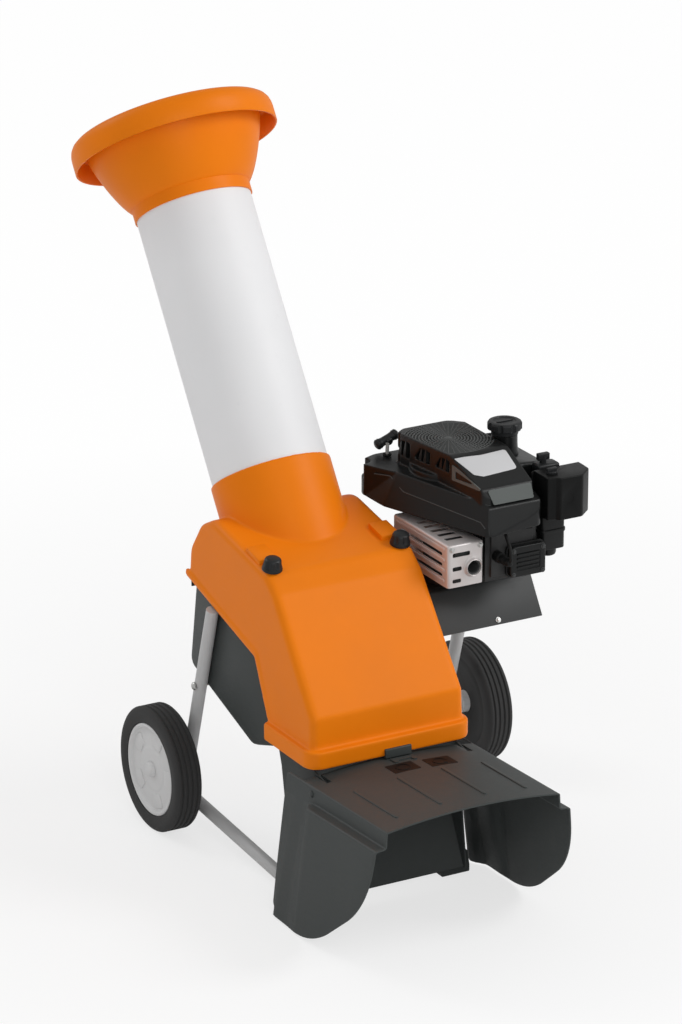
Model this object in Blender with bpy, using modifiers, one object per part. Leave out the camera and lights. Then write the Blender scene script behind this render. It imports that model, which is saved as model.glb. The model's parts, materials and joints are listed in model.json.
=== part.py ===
"""Garden shredder driven by a small petrol engine, as separate solids in metres with +Z up.

Chips leave at the front (-Y), the hopper leans back over the wheels (+Y), and the engine stands on
the right (+X). Sizes are taken from the middle of the axle: x = 0 between the wheels, y = 0 on the
axle and z = 0 on the ground. The empty named machine then moves the whole object so that the middle
of its footprint lies at the world origin.
"""
import math

import bmesh
import bpy
from mathutils import Matrix, Vector

# Clearances and walls
GAP = 0.0003
WELD = 0.00001
SHELL_WALL = 0.003
SHEET = 0.003

# Wheels and axle
WHEEL_RADIUS = 0.125
RIM_RADIUS = 0.0924
TYRE_WIDTH = 0.056
TRACK_OUTSIDE = 0.378
AXLE_Y = 0.0124
AXLE_RADIUS = 0.008
SPACER_RADIUS = 0.013
HUB_RADIUS = 0.022
HUB_RECESS = 0.008
GROOVE_DEPTH = 0.003
GROOVES = 4
WHEEL_STEPS = 28

# Middle plane of the chute, hood and hopper
CHUTE_X = -0.127

# Deck plate
DECK_TOP = 0.510
DECK_RIGHT_X = 0.300
DECK_FRONT_Y = -0.291
DECK_BACK_Y = 0.018
SKIRT_END_Y = -0.338
SKIRT_END_Z = 0.437
SKIRT_BEND = 0.006
BACK_FLANGE = 0.020

# Frame tubes and front feet
TUBE_RADIUS = 0.0125
SPACER_LENGTH = 0.0205
LEG_X = TRACK_OUTSIDE - TYRE_WIDTH - SPACER_LENGTH - TUBE_RADIUS
LEG_FOOT_Z = 0.0585
LEG_BEND = 0.045
LEG_LEAN = math.radians(16.75)
LEFT_LEG_TOP = 0.478
STRUT_END_Y = -0.452
STRUT_DROP = 0.078
FOOT_HALF_WIDTH = 0.031
FOOT_HEIGHT = 0.042
FOOT_FRONT_Y = -0.466
FOOT_BACK_Y = -0.420
LEG_BOLT_Z = 0.305
BOLT_RADIUS = 0.004
BOLT_HEAD_RADIUS = 0.008

# Lower housing
HOUSING_LEFT_X = -LEG_X + TUBE_RADIUS + GAP
HOUSING_RIGHT_X = 2 * CHUTE_X - HOUSING_LEFT_X

# Hood
HOOD_HALF_WIDTH = 0.160
HOOD_DRAFT = 0.030
LIP_HALF_WIDTH = 0.176
LIP_FRONT_Y = -0.503
LIP_BACK_Y = -0.318
LIP_BOTTOM = 0.295
LIP_TOP = 0.331
HOOD_FRONT_Y = -0.491
PANEL_BOTTOM_Y = -0.487
PANEL_BOTTOM_Z = 0.392
PANEL_TOP_Y = -0.338
PANEL_TOP_Z = 0.588
SHOULDER_Y = -0.300
SHOULDER_Z = 0.618
CROWN_Y = -0.085
CROWN_Z = 0.658
HOOD_BACK_Y = 0.010
HOOD_BACK_Z = DECK_TOP + 0.004
KNEE_Y = -0.262
KNEE_Z = 0.440
CLIP_HALF_WIDTH = 0.026
CLIP_HEIGHT = 0.018
CLIP_THICKNESS = 0.0045

# Hinge at the back of the hood
HOOD_HINGE_Y = 0.034
HOOD_HINGE_Z = 0.514
HINGE_PIN_RADIUS = 0.004
HINGE_LUG_X = 0.085
LUG_WIDTH = 0.018
EAR_THICKNESS = 0.004

# Hopper tube and hopper, along the tube's own axis
LEAN = math.radians(34.2)
TUBE_BASE = Vector((CHUTE_X, -0.029, 0.709))
HOPPER_TUBE_RADIUS = 0.1145
HOPPER_TUBE_WALL = 0.0015
HOPPER_TUBE_LENGTH = 0.541
TUBE_TUCK = 0.060
COLLAR_WALL = 0.004
COLLAR_BOTTOM = 0.548
RIM_OUTER_RADIUS = 0.203
RIM_ROUND = 0.006
NECK_LENGTH = 0.024
HOPPER_HEIGHT = 0.190
TUBE_STEPS = 32

# Locking knobs of the hood
KNOB_SPREAD = 0.138
KNOB_Y = -0.288
KNOB_RADIUS = 0.0135
KNOB_HEIGHT = 0.022
KNOB_STEM_RADIUS = 0.005
KNOB_STEM_LENGTH = 0.018
BOSS_RADIUS = 0.019
BOSS_RISE = 0.005
POST_RADIUS = 0.008

# Throat of the discharge
THROAT_HALF_WIDTH = 0.1535
THROAT_FLARE = 0.018
THROAT_FRONT_Y = -0.4765
THROAT_EDGE_Y = -0.490
THROAT_BOTTOM = 0.022
SPLAY_TOP = 0.250
THROAT_TOP = 0.335
MOUTH_TOP = 0.268
FLANK = 0.052
REAR_WALL_TOP = Vector((SKIRT_END_Y - GAP, SKIRT_END_Z))
REAR_WALL_END = Vector((-0.480, THROAT_BOTTOM))

# Flap of the discharge
FLAP_PIVOT_Y = -0.525
FLAP_PIVOT_Z = 0.264
FLAP_PIN_RADIUS = 0.004
FLAP_TOP_HALF = 0.184
FLAP_STEP_HALF = 0.207
FLAP_FOOT_HALF = 0.240
FLAP_STEP = 0.030
FLAP_BACK_Y = -0.490
FLAP_FRONT_Y = -0.800
FLAP_EDGE_Z = 0.2764
FLAP_RISE = 0.047
FLAP_CAMBER = 0.014
FLAP_WALL = 0.003
CHEEK_BACK_Y = -0.432
CHEEK_BOTTOM = 0.018

# Cutting unit
BLADE_SHAFT_Y = -0.175
DISC_RADIUS = 0.132
DISC_BOTTOM = 0.5228
DISC_THICKNESS = 0.006
KNIFE_THICKNESS = 0.004
KNIFE_WIDTH = 0.034
KNIFE_START = 0.030
KNIFE_END = 0.122
CHAMBER_RADIUS = 0.142
CHAMBER_WALL = 0.003
COUNTER_BLADE_HEIGHT = 0.011
COUNTER_BLADE_WIDTH = 0.022
SHAFT_RADIUS = 0.0085
SHAFT_FLANGE_RADIUS = 0.022
DISC_BOLT_RADIUS = 0.005
BEARING_RADIUS = 0.020
BEARING_WIDTH = 0.012
BEARING_HOUSING_WALL = 0.010
BEARING_HOUSING_DEPTH = 0.031
BEARING_FLANGE_RADIUS = 0.045

# Belt drive under the deck
PULLEY_FLOOR_Z = 0.452
BELT_WIDTH = 0.010
BELT_DEPTH = 0.008
BELT_ARC_STEPS = 12
BLADE_PULLEY_ROOT = 0.048
CRANK_PULLEY_ROOT = 0.034
PULLEY_CHEEK = 0.0045
CHEEK_RISE = 0.010
BELT_GUARD_WALL = 0.002
BELT_GUARD_ROOM = 0.008

# Engine block, with its crankshaft standing upright and its cylinder pointing to the front
ENGINE_X = 0.168
ENGINE_Y = -0.200
CRANK_RADIUS = 0.0127
CRANK_END_RADIUS = 0.008
CRANK_TOP = 0.735
SUMP_RADIUS = 0.088
SUMP_TOP = 0.535
CASE_RADIUS = 0.062
CASE_TOP = 0.648
CYLINDER_LEFT_X = 0.150
CYLINDER_RIGHT_X = 0.262
CYLINDER_BOTTOM = 0.548
CYLINDER_TOP = 0.645
CYLINDER_FRONT_Y = -0.330
HEAD_FRONT_Y = -0.376
FIN_DEPTH = 0.010
FIN_THICKNESS = 0.0025
FIN_PITCH = 0.009
VALVE_COVER_DEPTH = 0.016
FLYWHEEL_RADIUS = 0.070
FLYWHEEL_BOTTOM = 0.680
FLYWHEEL_THICKNESS = 0.016
FLYWHEEL_BLADES = 8

# Engine cover
COVER_BOTTOM = 0.655
COVER_TIER = 0.722
COVER_TOP = 0.780
COVER_WALL = 0.003
COVER_RIGHT_X = 0.245
GRILLE_RADIUS = 0.090
GRILLE_HUB = 0.022
GRILLE_RINGS = 4
GRILLE_BAR = 0.010
COVER_POSTS_X = (0.158, 0.236)
COVER_POST_Y = -0.308
COVER_POST_RADIUS = 0.006

# Fuel tank and cap
FUEL_NECK_X = 0.270
FUEL_NECK_Y = -0.239
FUEL_NECK_RADIUS = 0.022
FUEL_NECK_WALL = 0.003
FUEL_CAP_RADIUS = 0.0335
FUEL_CAP_TOP = 0.810
FUEL_CAP_HEIGHT = 0.025
TANK_RIGHT_X = 0.335
TANK_FRONT_Y = -0.318
TANK_BACK_Y = -0.125
TANK_BOTTOM = 0.652
TANK_TOP = 0.748

# Air filter
FILTER_LEFT_X = 0.2645
FILTER_RIGHT_X = 0.365
FILTER_FRONT_Y = -0.420
FILTER_BACK_Y = -0.355
FILTER_BOTTOM = 0.660
FILTER_TOP = 0.745
FILTER_KNOB_RADIUS = 0.008

# Muffler and its guard
MUFFLER_LEFT_X = 0.054
MUFFLER_RIGHT_X = 0.132
MUFFLER_FRONT_Y = -0.395
MUFFLER_BACK_Y = -0.205
MUFFLER_BOTTOM = 0.557
MUFFLER_TOP = 0.642
GUARD_SHEET = 0.0015
OUTLET_X = 0.108
OUTLET_Z = 0.5925
OUTLET_RADIUS = 0.015

# Starter grip
GRIP_X = 0.0725
GRIP_Y = -0.062
GRIP_Z = COVER_TIER + 0.0038
GRIP_RADIUS = 0.009
GRIP_LENGTH = 0.074

# Side each paired piece belongs to
SIDES = (("left", -1), ("right", 1))


# Scene and shared helpers


def clear_scene():
    for item in list(bpy.data.objects):
        bpy.data.objects.remove(item)


def new_collection(name):
    collection = bpy.data.collections.new(name)
    bpy.context.scene.collection.children.link(collection)
    return collection


def new_material(name, colour, roughness, metallic=0.0):
    material = bpy.data.materials.new(name)
    material.use_nodes = True
    shader = material.node_tree.nodes["Principled BSDF"]
    shader.inputs["Base Color"].default_value = (*colour, 1.0)
    shader.inputs["Roughness"].default_value = roughness
    shader.inputs["Metallic"].default_value = metallic
    return material


def new_object(name, data, collection=None):
    item = bpy.data.objects.new(name, data)
    (collection or PARTS).objects.link(item)
    return item


def new_pivot(name, place, parent):
    pivot = new_object(name, None)
    pivot.empty_display_size = 0.03
    pivot.parent = parent
    pivot.location = place
    return pivot


def finish(item, material, pivot, smooth=35.0):
    """Give a solid its material and hang it on its pivot without moving it."""
    item.data.materials.clear()
    item.data.materials.append(material)
    item.data.shade_smooth()
    item.data.set_sharp_from_angle(angle=math.radians(smooth))
    item.parent = pivot
    while pivot is not MACHINE:
        item.location = item.location - pivot.location
        pivot = pivot.parent
    return item


def settle(item):
    """Turn a curve, or a mesh with modifiers, into a plain closed mesh with flat caps in one face."""
    bpy.context.view_layer.update()
    evaluated = item.evaluated_get(bpy.context.evaluated_depsgraph_get())
    mesh = bpy.data.meshes.new_from_object(evaluated)
    shape = bmesh.new()
    shape.from_mesh(mesh)
    bmesh.ops.remove_doubles(shape, verts=shape.verts, dist=WELD)
    bmesh.ops.dissolve_limit(shape, angle_limit=0.002, verts=shape.verts, edges=shape.edges)
    bmesh.ops.recalc_face_normals(shape, faces=shape.faces)
    shape.to_mesh(mesh)
    shape.free()
    name = item.name
    matrix = item.matrix_world.copy()
    bpy.data.objects.remove(item)
    solid = new_object(name, mesh)
    mesh.transform(matrix)
    return solid


def fillet(corners, steps=3):
    """Round the corners of an outline: each corner is (u, v) or (u, v, radius)."""
    points = []
    count = len(corners)
    for index, corner in enumerate(corners):
        here = Vector(corner[:2])
        radius = corner[2] if len(corner) > 2 else 0.0
        if not radius:
            points.append(tuple(here))
            continue
        before = (Vector(corners[index - 1][:2]) - here).normalized()
        after = (Vector(corners[(index + 1) % count][:2]) - here).normalized()
        half = before.angle(after) / 2
        start = here + before * (radius / math.tan(half))
        end = here + after * (radius / math.tan(half))
        centre = here + (before + after).normalized() * (radius / math.sin(half))
        for step in range(steps + 1):
            spoke = (start - centre).lerp(end - centre, step / steps).normalized()
            if step in (0, steps):
                spoke = ((start if step == 0 else end) - centre).normalized()
            points.append(tuple(centre + spoke * radius))
    return points


def ring_points(centre, radius, steps, start=0.0, sweep=2 * math.pi):
    closed = abs(sweep - 2 * math.pi) < 1e-6
    divisions = steps if closed else steps - 1
    return [(centre[0] + radius * math.cos(start + sweep * i / divisions),
             centre[1] + radius * math.sin(start + sweep * i / divisions)) for i in range(steps)]


TURN_TO_AXIS = {"X": (math.pi / 2, 0.0, math.pi / 2), "Y": (math.pi / 2, 0.0, 0.0), "Z": (0.0, 0.0, 0.0)}


def slab(name, outlines, axis, low, high):
    """A flat outline, and any holes in it, given thickness along one axis.

    An outline across X is read as (y, z), one across Y as (x, z) and one across Z as (x, y).
    """
    if not isinstance(outlines[0], list):
        outlines = [outlines]
    curve = bpy.data.curves.new(name, "CURVE")
    curve.dimensions = "2D"
    curve.fill_mode = "BOTH"
    curve.extrude = (high - low) / 2
    for outline in outlines:
        spline = curve.splines.new("POLY")
        spline.points.add(len(outline) - 1)
        for point, (u, v) in zip(spline.points, outline):
            point.co = (u, v, 0.0, 1.0)
        spline.use_cyclic_u = True
    item = new_object(name, curve)
    item.rotation_euler = TURN_TO_AXIS[axis]
    item.location["XYZ".index(axis)] = (low + high) / 2
    return settle(item)


def rounded_box(name, low, high, radius=0.0, segments=2):
    middle = [(a + b) / 2 for a, b in zip(low, high)]
    bpy.ops.mesh.primitive_cube_add(size=1.0, location=middle)
    item = bpy.context.object
    item.name = name
    for collection in list(item.users_collection):
        collection.objects.unlink(item)
    PARTS.objects.link(item)
    item.data.transform(Matrix.Diagonal((*[b - a for a, b in zip(low, high)], 1.0)))
    if radius:
        bevel(item, radius, segments)
    return settle(item)


def rod(name, start, end, radius, steps=16):
    start, end = Vector(start), Vector(end)
    bpy.ops.mesh.primitive_cylinder_add(vertices=steps, radius=radius, depth=(end - start).length)
    item = bpy.context.object
    item.name = name
    for collection in list(item.users_collection):
        collection.objects.unlink(item)
    PARTS.objects.link(item)
    item.location = (start + end) / 2
    item.rotation_euler = (end - start).to_track_quat("Z", "Y").to_euler()
    return settle(item)


def turned(name, profile, steps, place=(0.0, 0.0, 0.0), aim=(0.0, 0.0, 1.0), closed=False):
    """A turned solid: (radius, height) points run down the outside and, if closed, back up inside."""
    mesh = bpy.data.meshes.new(name)
    edges = [(i, i + 1) for i in range(len(profile) - 1)]
    if closed:
        edges.append((len(profile) - 1, 0))
    mesh.from_pydata([(radius, 0.0, height) for radius, height in profile], edges, [])
    item = new_object(name, mesh)
    screw = item.modifiers.new("turn", "SCREW")
    screw.steps = screw.render_steps = steps
    screw.use_merge_vertices = True
    screw.merge_threshold = WELD
    item.location = place
    item.rotation_euler = Vector(aim).to_track_quat("Z", "Y").to_euler()
    return settle(item)


def tube(name, route, radius, bends=(), sides_level=4):
    """A bent round bar or tube outline along a route whose inner corners are rounded to the bend radii."""
    points = [Vector(route[0])]
    for index in range(1, len(route) - 1):
        here = Vector(route[index])
        before = (Vector(route[index - 1]) - here).normalized()
        after = (Vector(route[index + 1]) - here).normalized()
        bend = bends[index - 1]
        half = before.angle(after) / 2
        reach = bend / math.tan(half)
        centre = here + (before + after).normalized() * (bend / math.sin(half))
        start = here + before * reach - centre
        end = here + after * reach - centre
        for step in range(6):
            points.append(centre + start.slerp(end, step / 5) * bend)
    points.append(Vector(route[-1]))
    curve = bpy.data.curves.new(name, "CURVE")
    curve.dimensions = "3D"
    curve.bevel_depth = radius
    curve.bevel_resolution = sides_level
    curve.use_fill_caps = True
    spline = curve.splines.new("POLY")
    spline.points.add(len(points) - 1)
    for point, place in zip(spline.points, points):
        point.co = (*place, 1.0)
    return settle(new_object(name, curve))


def bevel(item, width, segments=2, angle=30.0):
    modifier = item.modifiers.new("rounded edges", "BEVEL")
    modifier.width = width
    modifier.segments = segments
    modifier.limit_method = "ANGLE"
    modifier.angle_limit = math.radians(angle)
    return item


def combine(item, other, operation):
    modifier = item.modifiers.new(operation.lower(), "BOOLEAN")
    modifier.operation = operation
    modifier.object = other
    modifier.solver = "EXACT"
    result = settle(item)
    bpy.data.objects.remove(other)
    return result


def cut(item, *tools):
    for tool in tools:
        item = combine(item, tool, "DIFFERENCE")
    return item


def fuse(item, *others):
    for other in others:
        item = combine(item, other, "UNION")
    return item


def taper(item, centre_x, rule, crease=None):
    """Scale the width of a solid about a middle plane by a rule of height, with a fold at the crease."""
    shape = bmesh.new()
    shape.from_mesh(item.data)
    if crease is not None:
        everything = shape.verts[:] + shape.edges[:] + shape.faces[:]
        bmesh.ops.bisect_plane(shape, geom=everything, plane_co=(0.0, 0.0, crease), plane_no=(0.0, 0.0, 1.0))
    for vertex in shape.verts:
        vertex.co.x = centre_x + (vertex.co.x - centre_x) * rule(vertex.co)
    shape.to_mesh(item.data)
    shape.free()
    return item


def main_body(item):
    """Keep the largest body of a mesh, without the slivers that inner corners of a thin wall leave."""
    shape = bmesh.new()
    shape.from_mesh(item.data)
    waiting = set(shape.verts)
    bodies = []
    while waiting:
        stack = [waiting.pop()]
        body = []
        while stack:
            vertex = stack.pop()
            body.append(vertex)
            for edge in vertex.link_edges:
                other = edge.other_vert(vertex)
                if other in waiting:
                    waiting.remove(other)
                    stack.append(other)
        bodies.append(body)
    bodies.sort(key=len)
    bmesh.ops.delete(shape, geom=[vertex for body in bodies[:-1] for vertex in body], context="VERTS")
    shape.to_mesh(item.data)
    shape.free()
    return item


def open_shell(item, wall, is_open):
    """Take away the faces that is_open names and give what is left a wall, measured inwards."""
    shape = bmesh.new()
    shape.from_mesh(item.data)
    bmesh.ops.delete(shape, geom=[face for face in shape.faces if is_open(face)], context="FACES")
    shape.to_mesh(item.data)
    shape.free()
    modifier = item.modifiers.new("wall", "SOLIDIFY")
    modifier.thickness = wall
    modifier.offset = -1.0
    modifier.use_even_offset = True
    return main_body(settle(item))


def flats_clear(radius, steps):
    """Radius of a faceted bore whose flats keep the gap to a round piece of the given radius."""
    return (radius + GAP) / math.cos(math.pi / steps)


def along(base, direction, distance):
    return Vector(base) + Vector(direction).normalized() * distance


# Frame, axle and feet


def leg_point(height, side):
    """Middle of a leg tube at a height: the legs lean forward as they rise, about the axle."""
    lean_from_axle = (height - WHEEL_RADIUS) * math.tan(LEG_LEAN)
    return Vector((side * LEG_X, AXLE_Y - lean_from_axle, height))


def foot_x(name):
    return -LEG_X if name == "left" else 2 * CHUTE_X + LEG_X


def strut_end(name):
    height = LEG_FOOT_Z - STRUT_DROP * (AXLE_Y - STRUT_END_Y)
    return Vector((foot_x(name), STRUT_END_Y, height))


def build_frame():
    deck_bottom = DECK_TOP - SHEET - GAP
    for name, side in SIDES:
        top = leg_point(LEFT_LEG_TOP if name == "left" else DECK_TOP, side)
        bend = leg_point(LEG_FOOT_Z, side)
        end = strut_end(name)
        leg = tube(f"{name}_frame_tube", [top, bend, end], TUBE_RADIUS, [LEG_BEND])
        bore = rod("bore", (side * (LEG_X - 0.03), AXLE_Y, WHEEL_RADIUS),
                   (side * (LEG_X + 0.03), AXLE_Y, WHEEL_RADIUS), AXLE_RADIUS + GAP, 16)
        above = rounded_box("above", (top.x - 0.05, top.y - 0.05, deck_bottom),
                            (top.x + 0.05, top.y + 0.05, deck_bottom + 0.05))
        leg = cut(leg, bore, above)
        if name == "left":
            leg = cut(leg, leg_bolt_hole())
        finish(leg, TUBE_PAINT, MACHINE)

        middle = foot_x(name)
        outline = [(FOOT_FRONT_Y, 0.0), (FOOT_FRONT_Y, 0.014), (FOOT_FRONT_Y + 0.008, FOOT_HEIGHT - 0.002),
                   (FOOT_FRONT_Y + 0.011, FOOT_HEIGHT), (FOOT_BACK_Y, FOOT_HEIGHT), (FOOT_BACK_Y, 0.0)]
        foot = slab(f"{name}_front_foot", outline, "X", middle - FOOT_HALF_WIDTH, middle + FOOT_HALF_WIDTH)
        foot = settle(bevel(foot, 0.003, 1))
        direction = (end - bend).normalized()
        socket = rod("socket", end - direction * 0.08, end + direction * GAP, TUBE_RADIUS + GAP, 16)
        finish(cut(foot, socket), DARK_PLASTIC, MACHINE)

    head = -LEG_X - TUBE_RADIUS - GAP
    end = HOUSING_LEFT_X + SHELL_WALL + 0.006
    profile = [(0.0, 0.006), (BOLT_HEAD_RADIUS - 0.002, 0.005), (BOLT_HEAD_RADIUS, 0.003),
               (BOLT_HEAD_RADIUS, 0.0), (BOLT_RADIUS, 0.0), (BOLT_RADIUS, head - end), (0.0, head - end)]
    place = leg_point(LEG_BOLT_Z, -1)
    finish(turned("leg_bolt", profile, 16, (head, place.y, place.z), (-1, 0, 0)), STEEL, MACHINE)


def leg_bolt_hole():
    """Hole for the bolt that holds the lower housing to the left frame tube."""
    place = leg_point(LEG_BOLT_Z, -1)
    return rod("hole", (-LEG_X - 0.03, place.y, place.z), (HOUSING_LEFT_X + 0.02, place.y, place.z),
               BOLT_RADIUS + GAP, 16)


def build_axle():
    finish(rod("axle", (-TRACK_OUTSIDE + 0.006, AXLE_Y, WHEEL_RADIUS),
               (TRACK_OUTSIDE - 0.006, AXLE_Y, WHEEL_RADIUS), AXLE_RADIUS, 20), STEEL, MACHINE)
    inner_face = TRACK_OUTSIDE - TYRE_WIDTH
    for name, side in SIDES:
        low = LEG_X + TUBE_RADIUS + GAP
        bore = AXLE_RADIUS + GAP
        ring = [(SPACER_RADIUS, inner_face - GAP), (SPACER_RADIUS, low), (bore, low),
                (bore, inner_face - GAP)]
        finish(turned(f"{name}_spacer", ring, 12, (0.0, AXLE_Y, WHEEL_RADIUS), (side, 0, 0), closed=True),
               STEEL, MACHINE)


# Wheels


def tyre_profile():
    """Section of a solid tyre: a flat tread with grooves running round it."""
    half = TYRE_WIDTH / 2
    tread_half = half - 0.007
    pitch = 2 * tread_half / GROOVES
    mouth = pitch * 0.26
    points = [(RIM_RADIUS + 0.006, half - 0.002), (WHEEL_RADIUS - 0.006, half), (WHEEL_RADIUS, tread_half)]
    for index in range(GROOVES):
        middle = tread_half - pitch * (index + 0.5)
        points += [(WHEEL_RADIUS, middle + mouth), (WHEEL_RADIUS - GROOVE_DEPTH, middle),
                   (WHEEL_RADIUS, middle - mouth)]
    points += [(WHEEL_RADIUS, -tread_half), (WHEEL_RADIUS - 0.006, -half), (RIM_RADIUS + 0.006, 0.002 - half)]
    points += [(RIM_RADIUS + GAP, 0.004 - half), (RIM_RADIUS + GAP, half - 0.004)]
    return points


def build_wheel(name, side):
    centre = Vector((side * (TRACK_OUTSIDE - TYRE_WIDTH / 2), AXLE_Y, WHEEL_RADIUS))
    pivot = new_pivot(f"{name}_wheel_pivot", centre, MACHINE)
    half = TYRE_WIDTH / 2
    outward = (side, 0, 0)
    finish(turned(f"{name}_tyre", tyre_profile(), WHEEL_STEPS, centre, outward, closed=True), TYRE_RUBBER,
           pivot)

    band = RIM_RADIUS - 0.009
    rim = [(RIM_RADIUS, half - 0.005), (RIM_RADIUS, 0.005 - half), (band, 0.005 - half), (band, -0.002),
           (HUB_RADIUS, -0.002), (HUB_RADIUS, -half), (AXLE_RADIUS + GAP, -half),
           (AXLE_RADIUS + GAP, half - HUB_RECESS), (HUB_RADIUS, half - HUB_RECESS),
           (HUB_RADIUS + 0.004, 0.006), (band - 0.012, 0.006), (band, half - 0.005)]
    hub = turned(f"{name}_rim", rim, WHEEL_STEPS, centre, outward, closed=True)
    finish(hub, RIM_PLASTIC, pivot)

    cap = [(0.0, half + 0.002), (0.008, half + 0.0015), (0.014, half - 0.002),
           (0.016, half - HUB_RECESS + GAP), (AXLE_RADIUS + 0.001, half - HUB_RECESS + GAP),
           (AXLE_RADIUS + 0.001, half - 0.003), (0.0, half - 0.003)]
    finish(turned(f"{name}_hub_cap", cap, 12, centre, outward), RIM_PLASTIC, pivot)


# Deck plate and the housings under it


def build_deck():
    bottom = DECK_TOP - SHEET
    slope = Vector((SKIRT_END_Y - DECK_FRONT_Y, SKIRT_END_Z - DECK_TOP)).normalized()
    inward = Vector((-slope.y, slope.x)) * SHEET
    outline = fillet([(DECK_BACK_Y, DECK_TOP), (DECK_FRONT_Y, DECK_TOP, SKIRT_BEND + SHEET),
                      (SKIRT_END_Y, SKIRT_END_Z), (SKIRT_END_Y + inward.x, SKIRT_END_Z + inward.y),
                      (DECK_FRONT_Y + 0.0015, bottom, SKIRT_BEND), (DECK_BACK_Y - SHEET, bottom, 0.001),
                      (DECK_BACK_Y - SHEET, bottom - BACK_FLANGE), (DECK_BACK_Y, bottom - BACK_FLANGE)])
    deck = slab("engine_deck", outline, "X", HOUSING_LEFT_X, DECK_RIGHT_X)
    shaft_hole = rod("hole", (CHUTE_X, BLADE_SHAFT_Y, bottom - 0.01),
                     (CHUTE_X, BLADE_SHAFT_Y, DECK_TOP + 0.01), BEARING_RADIUS + 0.005, 20)
    crank_hole = rod("hole", (ENGINE_X, ENGINE_Y, bottom - 0.01), (ENGINE_X, ENGINE_Y, DECK_TOP + 0.01),
                     0.030, 20)
    deck = cut(deck, shaft_hole, crank_hole)

    low, high = DECK_TOP - SHEET / 2, DECK_TOP + SHEET
    spread = HINGE_LUG_X + LUG_WIDTH / 2 + GAP
    reach = 0.009
    ear_view = fillet([(HOOD_HINGE_Y - 0.050, low), (HOOD_HINGE_Y - 0.050, high),
                       (HOOD_HINGE_Y - 2 * reach, high),
                       (HOOD_HINGE_Y - reach, HOOD_HINGE_Z + reach, 0.004),
                       (HOOD_HINGE_Y + reach, HOOD_HINGE_Z + reach, 0.006),
                       (HOOD_HINGE_Y + reach, HOOD_HINGE_Z - reach, 0.006),
                       (DECK_BACK_Y - SHEET / 2, HOOD_HINGE_Z - reach), (DECK_BACK_Y - SHEET / 2, low)], 2)
    for side in (-1, 1):
        inner, outer = sorted((CHUTE_X + side * spread, CHUTE_X + side * (spread + EAR_THICKNESS)))
        ear = slab("ear", ear_view, "X", inner, outer)
        hole = rod("hole", (inner - 0.01, HOOD_HINGE_Y, HOOD_HINGE_Z),
                   (outer + 0.01, HOOD_HINGE_Y, HOOD_HINGE_Z), HINGE_PIN_RADIUS + GAP, 12)
        deck = fuse(deck, cut(ear, hole))
    finish(deck, DARK_STEEL, MACHINE)


def build_lower_housing():
    """Rounded pan under the cutting unit, open to the deck above and to the belt guard on the right."""
    top = DECK_TOP - SHEET - GAP
    tall = top + 0.02
    outline = fillet([(-0.003, tall), (0.029, 0.325, 0.020), (-0.225, 0.243, 0.040), (-0.312, 0.272, 0.012),
                      (-0.302, 0.430), (-0.288, 0.462), (-0.284, tall)])
    housing = slab("lower_housing", outline, "X", HOUSING_LEFT_X, HOUSING_RIGHT_X)
    housing = settle(bevel(housing, 0.008, 2, 60.0))
    above = rounded_box("above", (HOUSING_LEFT_X - 0.02, -0.4, top),
                        (HOUSING_RIGHT_X + 0.02, 0.1, tall + 0.02))
    housing = open_shell(cut(housing, above), SHELL_WALL, lambda face: face.normal.z > 0.9)
    slot = rounded_box("slot", (HOUSING_RIGHT_X - 0.02, BLADE_SHAFT_Y - 0.09, PULLEY_FLOOR_Z - 0.012),
                       (HOUSING_RIGHT_X + 0.02, BLADE_SHAFT_Y + 0.09, tall))
    finish(cut(housing, slot, leg_bolt_hole()), DARK_PLASTIC, MACHINE)


def throat_width(point):
    """The throat's side walls stand straight at the neck and splay towards the ground."""
    splay = max(0.0, (SPLAY_TOP - point.z) / (SPLAY_TOP - THROAT_BOTTOM))
    return 1.0 + THROAT_FLARE / THROAT_HALF_WIDTH * splay


def rear_wall_y(height, offset=0.0):
    share = (height - REAR_WALL_END.y) / (REAR_WALL_TOP.y - REAR_WALL_END.y)
    return REAR_WALL_END.x + (REAR_WALL_TOP.x - REAR_WALL_END.x) * share + offset


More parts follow.
